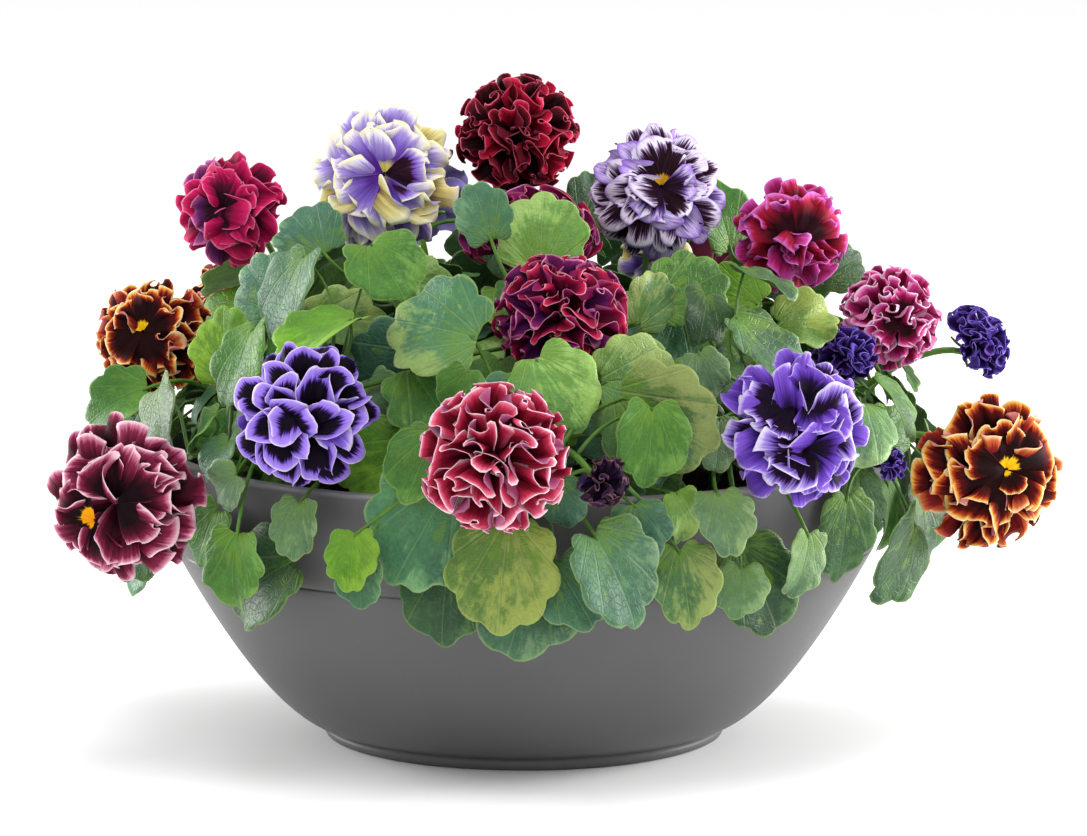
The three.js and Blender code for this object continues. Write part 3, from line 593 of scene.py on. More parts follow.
def leaf_point(leaf, share, angle):
    """Points of a leaf's blade in its own frame. share runs from the middle to the margin, angle from the
    tip."""
    along, side = np.cos(angle), np.sin(angle)
    notch = 1 - NOTCH_DEPTH * np.exp(-((np.abs(math.pi - angle) / NOTCH_WIDTH) ** 2))
    reach = share * notch * (1 + LOBE_DEPTH * np.cos(leaf["teeth"] * angle))
    x = leaf["length"] * (BLADE_MIDDLE + BLADE_REACH * reach * along)
    y = 0.5 * leaf["width"] * reach * side * (1 - BLADE_TAPER * along)
    fade = np.sqrt((1 + along) / 2 + 1e-9)
    wave = leaf["wave"] * share**2 * fade * np.sin(leaf["waves"] * angle + leaf["phase"])
    droop = leaf["droop"] * leaf["length"] * (x / leaf["length"]) ** 2
    return np.stack([x, y, leaf["cup"] * np.abs(y) - droop + wave], -1)


def leaf_frame(leaf):
    """The blade's frame, as rows: the way to its tip, its side and its upper face."""
    side = unit(np.cross(leaf["up"], leaf["tip"]))
    return np.stack([leaf["tip"], side, np.cross(leaf["tip"], side)])


def blade_foot(leaf, share=1.0):
    """Where a leaf's stalk meets its blade, or a point nearer the blade's middle for a smaller share."""
    return leaf_point(leaf, np.array([share]), np.array([math.pi]))[0] @ leaf_frame(leaf) + leaf["base"]


def over_rim(point):
    """True for a point that lies over the bowl's rim or outside it."""
    return math.hypot(point[0], point[1]) > RIM_RADIUS - 2 * LIP_WIDTH


def petiole_curve(leaf):
    """A leaf stalk runs from the blade's foot back to its stem, and arches over the bowl's rim."""
    start = blade_foot(leaf)
    gap = start - leaf["from"]
    bend = start - leaf["tip"] * PETIOLE_BEND * math.sqrt(float(gap @ gap))
    middle = leaf["from"] + (bend - leaf["from"]) * PETIOLE_MIDDLE
    if over_rim(start):
        bend[2] = max(bend[2], BOWL_HEIGHT + RIM_ARCH)
        middle[2] = max(middle[2], BOWL_HEIGHT + RIM_ARCH)
    return start, bend, middle, leaf["from"]


def points_along(curve, steps, spacing):
    """Points at even steps along a curve drawn as a few straight lengths, leaving out its two ends."""
    joints, length = spaced(curve, steps)
    count = math.ceil(length / steps / spacing)
    shares = (np.arange(count) + 1) / count
    rows = [a + (b - a) * shares[:, None] for a, b in zip(joints[:-1], joints[1:])]
    return np.concatenate(rows)[:-1]


# The room that each piece of foliage needs round its middle, in millimetres, as it grew. Leaves of one plant
# may come nearer each other, and a bloom takes less room behind its middle than in front.
LEAF_ROOM, PETIOLE_ROOM, STEM_ROOM, JOINT_ROOM = 4.6, 2.6, 3.6, 10.0
BLOOM_ROOM, BLOOM_BACK, OWN_SHARE = 2.0, 0.42, 0.85
RIM_ROOM, LIP_ROOM = 0.5, 1.0
SAMPLE_SHARES = np.array([0.0] + [0.5] * 6 + [0.97] * 12)
SAMPLE_ANGLES = np.array(
    [0.0] + [math.pi * (i + 0.5) / 3 for i in range(6)] + [math.pi * i / 6 for i in range(12)]
)
# How near to a stem and how far from it a leaf's foot may be, and what each millimetre that its stalk has to
# climb weighs in the choice of a stem.
PETIOLE_REACH = (12.0, 80.0)
CLIMB_WEIGHT, CLIMB_FROM = 3.0, 4.0
bloom_centres = np.array([bloom.centre for bloom in BLOOMS], float)
bloom_aims = np.array([aim_of(bloom.turn, bloom.rise) for bloom in BLOOMS])
bloom_radii = np.array([bloom.size / 2 for bloom in BLOOMS])


def leaf_samples(leaf):
    """A few points over a leaf and its stalk, and the room that each needs round it."""
    blade = leaf_point(leaf, SAMPLE_SHARES, SAMPLE_ANGLES) @ leaf_frame(leaf) + leaf["base"]
    stalk = points_along(petiole_curve(leaf), PETIOLE_STEPS, 6)
    stalk = stalk[np.sqrt(((stalk - leaf["from"]) ** 2).sum(1)) > JOINT_ROOM]
    rooms = np.concatenate([np.full(len(blade), LEAF_ROOM), np.full(len(stalk), PETIOLE_ROOM)])
    return np.concatenate([blade, stalk]), rooms


def in_a_bloom(at, room):
    """True for each point that comes nearer a bloom than room."""
    offset = at[:, None] - bloom_centres[None]
    ahead = (offset * bloom_aims[None]).sum(2)
    aside = np.sqrt(np.maximum(0, (offset**2).sum(2) - ahead * ahead))
    deep = np.hypot(aside, ahead / np.where(ahead > 0, BLOOM_DEPTH, BLOOM_BACK))
    return (deep < bloom_radii[None] + room).any(1)


def is_clear(at, room, owner, placed):
    """True if a leaf keeps off the bowl's wall, the soil, every bloom and everything placed before it."""
    radius = np.hypot(at[:, 0], at[:, 1])
    inside = radius < outer_radius(np.maximum(0, at[:, 2])) + room
    low = at[:, 2] < BOWL_HEIGHT + room + RIM_ROOM
    if np.any(inside & low & (radius > RIM_RADIUS - LIP_WIDTH - room - LIP_ROOM)):
        return False
    if np.any(inside & (at[:, 2] < SOIL_HEIGHT + SOIL_BUMP + room)) or in_a_bloom(at, BLOOM_ROOM).any():
        return False
    others, rooms, owners = placed
    need = (room[:, None] + rooms[None]) * np.where(owners == owner, OWN_SHARE, 1)[None]
    return not np.any(((at[:, None] - others[None]) ** 2).sum(2) < need * need)


def attach(leaf, stems, reach):
    """Where a leaf's stalk leaves its plant, and which plant that is, or None if no stem is within reach."""
    at, owners = stems
    distance = np.sqrt(((at - leaf["base"]) ** 2).sum(1))
    cost = distance + CLIMB_WEIGHT * np.maximum(0, at[:, 2] - leaf["base"][2] + CLIMB_FROM)
    cost[(distance < reach[0]) | (distance > reach[1])] = np.inf
    best = int(np.argmin(cost))
    return None if cost[best] == np.inf else (at[best], owners[best])


# The leaves that show most from the front: the middle of the blade, the way its tip points and its upper face
# looks, as (turn, rise) in degrees, its length and width, and its tint.
FRONT_LEAVES = [
    ((-41, -150, 232), (-70, 30), (-12, 30), 52, 54, "sunlit"),
    ((-60, -118, 205), (-70, -10), (-15, 10), 58, 58, "dark_teal"),
    ((-46, -197, 144), (-60, -50), (-15, 20), 64, 62, "teal"),
    ((-14, -216, 120), (-20, -75), (-5, 10), 58, 56, "straw"),
    ((40, -216, 131), (50, -45), (10, 30), 58, 54, "teal"),
    ((72, -201, 116), (40, -70), (20, 10), 44, 38, "cream"),
    ((66, -184, 182), (50, -30), (5, 10), 60, 62, "cream"),
    ((52, -140, 206), (70, 20), (10, 30), 48, 48, "cream"),
    ((63, -95, 236), (60, 50), (20, 15), 34, 26, "cream"),
    ((9, -72, 266), (10, 75), (0, 15), 42, 46, "pale"),
    ((-21, -76, 276), (-40, 60), (-5, 20), 34, 30, "teal"),
    ((-58, -70, 244), (60, 40), (-10, 30), 42, 34, "pale"),
    ((-111, -30, 261), (-50, 50), (-15, 20), 36, 38, "teal"),
    ((-131, -50, 237), (-60, 20), (-25, 25), 42, 42, "teal"),
    ((-98, -60, 226), (60, 30), (-15, 35), 44, 38, "pale"),
    ((-146, -60, 204), (-40, 70), (-30, 20), 44, 36, "lime"),
    ((-206, -40, 184), (-100, -25), (-25, 30), 40, 36, "green"),
    ((-142, -161, 117), (-50, -70), (-35, 15), 40, 38, "green"),
    ((-112, -172, 136), (-40, -60), (-30, 20), 32, 28, "sage"),
    ((-88, -186, 130), (-10, -60), (-20, 20), 34, 30, "lime"),
    ((-150, -74, 162), (-95, 10), (-20, 20), 36, 34, "green"),
    ((99, -180, 142), (10, -50), (20, 30), 36, 32, "sage"),
    ((130, -167, 122), (30, -70), (35, 12), 38, 32, "sage"),
    ((161, -135, 122), (60, -80), (35, 5), 50, 36, "dark"),
    ((170, -112, 142), (30, -50), (40, 20), 38, 30, "dark"),
    ((182, -66, 167), (60, 30), (35, 25), 38, 30, "green"),
    ((82, -44, 236), (50, 40), (10, 30), 46, 40, "green"),
    ((114, -30, 226), (-30, 40), (15, 30), 42, 36, "lime"),
    ((142, -62, 222), (60, 25), (15, 35), 36, 32, "straw"),
    ((163, 34, 236), (60, 40), (20, 30), 32, 28, "dark"),
    ((104, 34, 262), (20, 80), (40, 10), 42, 34, "green"),
    ((34, 54, 268), (60, 60), (20, 20), 34, 28, "dark"),
    ((19, -150, 187), (20, 70), (0, 20), 30, 24, "lime"),
]
FRONT_TRIES, FRONT_JITTER, FRONT_SWAY, FRONT_SHRINK = 140, 15.0, 36.0, 0.12

# The rest of the larger leaves: they lie on a dome over the bowl, spread by the golden angle, and each is
# tried in a number of ways until one fits.
GOLDEN = 137.508
DOME_LEAVES, DOME_TRIES = 120, 30
DOME_RADIUS, DOME_TOP, DOME_BASE = 212.0, 146.0, 122.0
LEAF_SEED = 25
LARGE_LEAF = 56.0


def leaf_shape(draw):
    """The curl that every leaf grew with."""
    return {
        "cup": 0.12 + 0.22 * draw(),
        "droop": 0.1 + 0.2 * draw(),
        "wave": 1.5 + 2.5 * draw(),
        "waves": 2 + math.floor(3 * draw()),
        "phase": 2 * math.pi * draw(),
    }


def front_leaf(spec, attempt, draw):
    """A leaf seen from the front, moved and turned more with every try, and made a little smaller."""
    at, tip, face, length, width, _ = spec
    strength = attempt / FRONT_TRIES
    size = 1 - FRONT_SHRINK * strength

    def shift():
        return 2 * FRONT_JITTER * strength * (draw() - 0.5)

    def sway():
        return 2 * FRONT_SWAY * strength * (draw() - 0.5)

    centre = np.array([at[0] + shift(), at[1] + 1.5 * shift(), at[2] + shift()])
    face = aim_of(face[0] + sway(), face[1] + sway())
    tip = aim_of(tip[0] + sway(), tip[1] + sway())
    return {"centre": centre, "face": face, "tip": tip, "length": length * size, "width": width * size}


def dome_leaf(i, draw):
    """A leaf that lies roughly along the dome's surface, with its tip pointing outwards and down."""
    turn = math.radians(i * GOLDEN + 40 * (draw() - 0.5))
    from_top = math.acos(1 - 0.98 * ((i + draw()) / DOME_LEAVES))
    depth = 0.78 + 0.24 * draw()
    radial = np.array([math.sin(turn), -math.cos(turn), 0.0])
    centre = radial * (DOME_RADIUS * depth * math.sin(from_top))
    centre[2] = DOME_BASE + DOME_TOP * depth * math.cos(from_top) ** 0.9
    face = radial * math.sin(from_top) + np.array([0, 0, 0.35 + math.cos(from_top)])
    face = unit(face + np.array([draw() - 0.5, draw() - 0.5, 0.6 * (draw() - 0.5)]))
    sway = math.radians(100 * (draw() - 0.5))
    tip = radial * (math.cos(from_top) + 0.35) + np.array([0, 0, -math.sin(from_top)])
    swayed = tip * math.cos(sway) + np.cross(face, tip) * math.sin(sway)
    tip = swayed + face * (face @ tip) * (1 - math.cos(sway))
    length = 44 + 20 * draw()
    width = length * (0.78 + 0.24 * draw())
    return {"centre": centre, "face": face, "tip": tip, "length": length, "width": width}


def with_frame(leaf, shape):
    """A leaf with its frame, put together from the middle of its blade."""
    up = unit(leaf["face"])
    tip = unit(leaf["tip"] - up * float(leaf["tip"] @ up))
    base = leaf["centre"] - tip * BLADE_MIDDLE * leaf["length"]
    teeth = 6 if leaf["length"] > LARGE_LEAF else 5
    return {**leaf, **shape, "up": up, "tip": tip, "base": base, "teeth": teeth}


def place_leaves():
    """Places every larger leaf and gives each to a plant."""
    draw = random_from(LEAF_SEED)
    stems = stems_of(lambda curve: points_along(curve, STEM_STEPS, 5))
    placed = [stems[0], np.full(len(stems[0]), STEM_ROOM), stems[1]]
    leaves = []

    def place(leaf, tint):
        root = attach(leaf, stems, PETIOLE_REACH)
        if root is None:
            return False
        leaf["from"], leaf["owner"] = root
        at, room = leaf_samples(leaf)
        if not is_clear(at, room, leaf["owner"], placed):
            return False
        for k, added in enumerate((at, room, np.full(len(at), leaf["owner"]))):
            placed[k] = np.concatenate([placed[k], added])
        leaves.append({**leaf, "tint": tint})
        return True

    for spec in FRONT_LEAVES:
        shape = leaf_shape(draw)
        for attempt in range(FRONT_TRIES):
            if place(with_frame(front_leaf(spec, attempt, draw), shape), spec[-1]):
                break
    for i in range(DOME_LEAVES):
        for _ in range(DOME_TRIES):
            draft = dome_leaf(i, draw)
            if place(with_frame(draft, leaf_shape(draw)), None):
                break
    return leaves


# Younger leaves come up between them until the mound is closed. They are tried large first and smaller later:
# those that hang over the rim, those that lie on it, those round the mound's foot and those all through it.
# Each row holds the tries, how far out the leaves' middles are, their heights, and how far their faces look
# from straight up.
YOUNG_PLACES = [
    (2200, (194, 216), (106, 156), (62, 92)),
    (2200, (160, 210), (148, 190), (45, 80)),
    (1500, (110, 212), (150, 218), (40, 80)),
    (3000, (0, 196), (150, 262), (10, 70)),
]
YOUNG_SEED = 5
YOUNG_LENGTHS = (52.0, 22.0)
YOUNG_ROOM, YOUNG_STALK, YOUNG_BLOOM_ROOM, YOUNG_SOIL_ROOM = 2.4, 1.4, 1.6, 2.0
YOUNG_REACH = (14.0, 95.0)
MOUND_MARGIN = 4.0
STALK_ARCHES = range(4, 40, 3)
STALK_SHARES = np.linspace(0.03, 0.97, 24)
FINE_SHARES = np.array([0.0] + [0.25] * 6 + [0.5] * 12 + [0.75] * 18 + [0.98] * 24)
FINE_ANGLES = np.concatenate([[0.0]] + [np.arange(n) * 2 * math.pi / n for n in (6, 12, 18, 24)])


def young_shape(draw):
    """The curl that a young leaf grew with."""
    return {
        "cup": draw.uniform(0.1, 0.34),
        "droop": draw.uniform(0.1, 0.34),
        "wave": draw.uniform(0.8, 2.6),
        "waves": int(draw.integers(2, 5)),
        "phase": draw.uniform(0, 2 * math.pi),
    }


def young_leaf(share, place, draw):
    """A leaf in one of the places, facing outwards and up with its tip down. share, from 0 to 1, makes it
    smaller."""
    _, outs, heights, looks = place
    turn = draw.uniform(-1, 1)
    turn *= math.pi * math.sqrt(abs(turn))
    radial = np.array([math.sin(turn), -math.cos(turn), 0.0])
    from_top = math.radians(draw.uniform(*looks))
    centre = radial * outs[0] + radial * (outs[1] - outs[0]) * math.sqrt(draw.uniform(0, 1))
    centre[2] = draw.uniform(*heights)
    face = radial * math.sin(from_top) + np.array([0, 0, math.cos(from_top)])
    face = unit(face + draw.uniform(-0.3, 0.3, 3))
    tip = radial * math.cos(from_top) + np.array([0, 0, -math.sin(from_top)])
    sway = math.radians(draw.uniform(-60, 60))
    tip = tip * math.cos(sway) + np.cross(face, tip) * math.sin(sway)
    length = YOUNG_LENGTHS[0] + (YOUNG_LENGTHS[1] - YOUNG_LENGTHS[0]) * share
    width = length * draw.uniform(0.9, 1.08)
    return {"centre": centre, "face": face, "tip": tip, "length": length, "width": width}


def in_mound(centre):
    """True where the foliage's dome reaches."""
    radius, height = math.hypot(centre[0], centre[1]), centre[2]
    out = (radius / (DOME_RADIUS + MOUND_MARGIN)) ** 3
    return out + (max(0, height - DOME_BASE) / (DOME_TOP + MOUND_MARGIN)) ** 2 < 1


def stalk_curve(leaf, end):
    """A leaf's stalk leaves its blade behind the face and drops back to its stem, as low over the rim as it
    can."""
    start = blade_foot(leaf)
    gap = math.sqrt(float((end - start) @ (end - start)))
    way = unit(0.8 * (end - start) / gap - 0.5 * leaf["up"] - 0.3 * leaf["tip"])
    bend, middle = start + 0.45 * gap * way, end + (start - end) * 0.3 + np.array([0, 0, 0.2 * gap])
    outside = over_rim(start)
    for arch in STALK_ARCHES:
        if outside:
            bend[2] = max(bend[2], BOWL_HEIGHT + arch)
            middle[2] = max(middle[2], BOWL_HEIGHT + arch)
        points = bezier(start, bend, middle, end, np.linspace(0, 1, 30))
        radius = np.hypot(points[:, 0], points[:, 1])
        in_rim = (radius > RIM_RADIUS - LIP_WIDTH - 2) & (radius < outer_radius(points[:, 2]) + 2)
        if not np.any(in_rim & (points[:, 2] < BOWL_HEIGHT + 2)):
            break
    return start, bend, middle, end


def blade_points(leaf):
    """Points spread over a leaf's blade."""
    return leaf_point(leaf, FINE_SHARES, FINE_ANGLES) @ leaf_frame(leaf) + leaf["base"]


def pierced(group, lines):
    """True for each line of points that passes through any blade of a group of leaves."""
    bases = np.array([leaf["base"] for leaf in group])
    frames = np.array([leaf_frame(leaf) for leaf in group])
    length, width, cup, droop = [
        np.array([leaf[key] for leaf in group])[:, None, None] for key in ("length", "width", "cup", "droop")
    ]
    local = np.einsum("lskc,ljc->lskj", lines[None] - bases[:, None, None], frames)
    x, y = local[..., 0] / length, local[..., 1]
    within = ((x - BLADE_MIDDLE) / BLADE_REACH) ** 2 + (y / (0.5 * width)) ** 2 < 1
    above = local[..., 2] - cup * np.abs(y) + droop * length * x**2 > 0
    return (within[..., 1:] & within[..., :-1] & (above[..., 1:] != above[..., :-1])).any((0, 2))


def is_free(leaf, at, taken):
    """True if a young leaf keeps off the bowl, the soil, every bloom and the points that are taken."""
    radius = np.hypot(at[:, 0], at[:, 1])
    inside = radius < outer_radius(np.maximum(0, at[:, 2])) + YOUNG_ROOM
    low = (at[:, 2] < BOWL_HEIGHT + YOUNG_ROOM) & (radius > RIM_RADIUS - LIP_WIDTH - YOUNG_ROOM)
    buried = at[:, 2] < SOIL_HEIGHT + SOIL_BUMP + YOUNG_SOIL_ROOM
    if np.any(inside & (low | buried)) or in_a_bloom(at, YOUNG_BLOOM_ROOM).any():
        return False
    near = taken[((taken - leaf["centre"]) ** 2).sum(1) < (leaf["length"] * 0.75 + 6) ** 2]
    return not len(near) or ((at[:, None] - near[None]) ** 2).sum(2).min() >= (2 * YOUNG_ROOM) ** 2


def fill_in(leaves):
    """The leaves with the young ones added."""
    draw = np.random.default_rng(YOUNG_SEED)
    stems = stems_of(lambda curve: spaced(curve, 60)[0][2:-3])
    lines = [bezier(*stem_curve(plant, BLOOMS[k]), STALK_SHARES) for plant in PLANTS for k in plant.blooms]
    lines += [bezier(*stalk_curve(leaf, leaf["from"]), STALK_SHARES) for leaf in leaves]
    lines = np.array(lines)
    taken = np.concatenate([blade_points(leaf) for leaf in leaves] + [stems[0]])
    young = []
    for place in YOUNG_PLACES:
        tries = place[0]
        for k in range(tries):
            shape = young_shape(draw)
            leaf = with_frame(young_leaf(k / tries, place, draw), shape)
            if not in_mound(leaf["centre"]):
                continue
            at = blade_points(leaf)
            root = attach(leaf, stems, YOUNG_REACH) if is_free(leaf, at, taken) else None
            if root is None:
                continue
            leaf["from"], leaf["owner"] = root
            stalk = bezier(*stalk_curve(leaf, leaf["from"]), STALK_SHARES)
            if in_a_bloom(stalk, YOUNG_STALK).any() or pierced([leaf], lines).any():
                continue
            if pierced(leaves + young, stalk[None]).any():
                continue
            lines = np.concatenate([lines, stalk[None]])
            taken = np.concatenate([taken, at])
            young.append({**leaf, "tint": None, "young": True})
    return leaves + young


leaves = fill_in(place_leaves())

# How the blades are made: the shares at which their rings of points lie, the points in a ring, and the angle
# between two veins, in radians.
BLADE_RINGS = np.array([0.0, 0.24, 0.46, 0.66, 0.82, 0.93, 1.0])
BLADE_SIDES = 56
YOUNG_RINGS = np.array([0.0, 0.35, 0.65, 0.88, 1.0])
YOUNG_SIDES, YOUNG_TEETH = 40, 7
TOOTH_DEPTH = 0.16
VEIN_FAN, VEIN_EDGES, NET_SCALE = 0.42, (0.016, 0.003), 15.0
FOLIAGE_TONE = (0.73, 0.81, 0.56)

# Each leaf tint: the blade, its margin, and how far out from the middle the margin's colour starts.
LEAF_TINTS = {
    "teal": ("#4c7d70", "#86a98f", 0.93),
    "dark_teal": ("#3c6a62", "#6b9080", 0.94),
    "dark": ("#345a40", "#5f8258", 0.94),
    "green": ("#4c8038", "#84ae5a", 0.92),
    "lime": ("#649a26", "#9cc43c", 0.62),
    "pale": ("#7fa860", "#bcd08a", 0.6),
    "cream": ("#55805a", "#b4b877", 0.55),
    "straw": ("#76944f", "#bcb968", 0.45),
    "sunlit": ("#4f8274", "#a8b46c", 0.7),
    "sage": ("#68876f", "#9ab18c", 0.93),
}


def sheet_solid(points, faces, rim, thickness):
    """A thin sheet thickened along its normals into a closed skin. rim is the loop of points round its
    margin. It gives the points, the faces and which points lie on the underside."""
    normals = np.zeros_like(points)
    for group in faces:
        a, b, c = points[group[:, 0]], points[group[:, 1]], points[group[:, -1]]
        across = np.cross(b - a, c - a)
        for k in range(group.shape[1]):
            np.add.at(normals, group[:, k], across)
    normals /= np.maximum(np.sqrt((normals**2).sum(1, keepdims=True)), 1e-9)
    offset = normals * np.broadcast_to(thickness, (len(points),))[:, None] / 2
    count = len(points)
    made = [np.concatenate([group, group[:, ::-1] + count]) for group in faces]
    turn = np.roll(rim, -1)
    edge = np.column_stack([turn, rim, rim + count, turn + count])
    quads = [group for group in made if group.shape[1] == 4] + [edge]
    tris = [group for group in made if group.shape[1] == 3] + [np.zeros((0, 3), int)]
    under = np.concatenate([np.zeros(count), np.ones(count)])
    faces = [np.concatenate(quads), np.concatenate(tris)]
    return np.concatenate([points + offset, points - offset]), faces, under


def disc_faces(rings, sides):
    """Faces of a disc of points: one in the middle and then the rings, from the inside out, with the rim's
    loop."""
    here = np.arange(sides)
    there = (here + 1) % sides
    fan = np.column_stack([np.zeros(sides, int), 1 + here, 1 + there])
    bands = [
        np.column_stack([inner + here, inner + sides + here, inner + sides + there, inner + there])
        for inner in range(1, 1 + (rings - 1) * sides, sides)
    ]
    return [np.concatenate(bands), fan], 1 + (rings - 1) * sides + here


def tube(points, radii, sides):
    """A round rod along points, with a radius at each, closed at both ends."""
    points = np.asarray(points, float)
    ways = np.gradient(points, axis=0)
    ways /= np.sqrt((ways**2).sum(1, keepdims=True))
    side = np.cross(ways[0], [0.3, 0.9, 0.2])
    rows = []
    angles = np.arange(sides) * 2 * math.pi / sides
    for point, way, radius in zip(points, ways, radii):
        side = unit(side - way * float(side @ way))
        over = np.cross(way, side)
        rows.append(point + radius * (np.cos(angles)[:, None] * side + np.sin(angles)[:, None] * over))
    return np.vstack([*rows, points[:1], points[-1:]]), ring_faces(len(points), sides)


class Gathering:
    """Meshes gathered into one piece, with the vectors that their material reads at each point."""

    def __init__(self):
        self.points, self.quads, self.tris, self.values, self.count = [], [], [], {}, 0

    def add(self, points, faces, **values):
        """Adds one mesh to the piece."""
        self.points.append(points)
        for group in faces:
            if len(group):
                (self.quads if group.shape[1] == 4 else self.tris).append(group + self.count)
        for key, value in values.items():
            self.values.setdefault(key, []).append(np.broadcast_to(value, (len(points), 3)))
        self.count += len(points)

    def make(self, name, material, stands_for):
        """Makes the piece from all that was added."""
        faces = [np.concatenate(group) for group in (self.quads, self.tris) if group]
        values = {key: np.concatenate(rows) for key, rows in self.values.items()}
        piece_of(name, np.concatenate(self.points), faces, material, stands_for, values)


def blade(leaf):
    """A leaf's blade: lobed as it grew, with small rounded teeth, and puckered between its veins."""
    rings, sides = (YOUNG_RINGS, YOUNG_SIDES) if "young" in leaf else (BLADE_RINGS, BLADE_SIDES)
    angles = np.arange(sides) * 2 * math.pi / sides
    share, angle = [grid.ravel() for grid in np.meshgrid(rings[1:], angles, indexing="ij")]
    share, angle = np.concatenate([[0.0], share]), np.concatenate([[0.0], angle])
    lobes = 1 - 0.05 * share**2 * np.cos(leaf["teeth"] * angle)
    teeth = YOUNG_TEETH if "young" in leaf else 2 * leaf["teeth"] - 1
    tooth = np.abs(np.cos(teeth * angle / 2 + leaf["phase"])) ** 0.7 - 0.62
    points = leaf_point(leaf, share * lobes * (1 + TOOTH_DEPTH * share**5 * tooth), angle)
    # The fold along the midrib is rounded off, and the blade's taper is taken back.
    round_off = 0.14 * leaf["width"]
    side = np.abs(points[:, 1])
    points[:, 2] += leaf["cup"] * (np.hypot(side, round_off) - round_off - side)
    points[:, 1] *= 1 + 0.13 * share * np.cos(angle)
    # The margin is frilled and turned down a little, and the blade puffs up between its veins.
    frill = np.sin(9 * angle + 2 * leaf["phase"]) + 0.6 * np.sin(14 * angle - leaf["phase"])
    points[:, 2] += 0.014 * leaf["length"] * share**5 * np.sqrt((1 + np.cos(angle)) / 2 + 1e-9) * frill
    x, y = points[:, 0] / leaf["length"], points[:, 1] / leaf["length"]
    fan = np.arctan2(y, np.maximum(x, 1e-6))
    reach = np.hypot(x, y)
    puff = np.cos(2 * math.pi * fan / VEIN_FAN + math.pi)
    points[:, 2] += 0.016 * leaf["length"] * np.minimum(reach, 1 - reach).clip(0, 1) * puff
    points[:, 2] -= 0.02 * leaf["length"] * share**8
    faces, rim = disc_faces(len(rings) - 1, sides)
    thickness = BLADE_THICKNESS * (1.15 - 0.55 * share)
    made, faces, under = sheet_solid(points @ leaf_frame(leaf) + leaf["base"], faces, rim, thickness)
    return made, faces, under, np.column_stack([np.tile(x, 2), np.tile(y, 2), np.tile(share, 2)])


def attribute_node(tree, name):
    """The vector that a mesh's points hold under a name."""
    node = tree.nodes.new("ShaderNodeAttribute")
    node.attribute_name = name
    return node.outputs["Vector"]


def join_node(tree, *values):
    """A vector put together from two or three values."""
    node = tree.nodes.new("ShaderNodeCombineXYZ")
    for socket, value in zip(node.inputs, values):
        tree.links.new(value, socket)
    return node.outputs["Vector"]


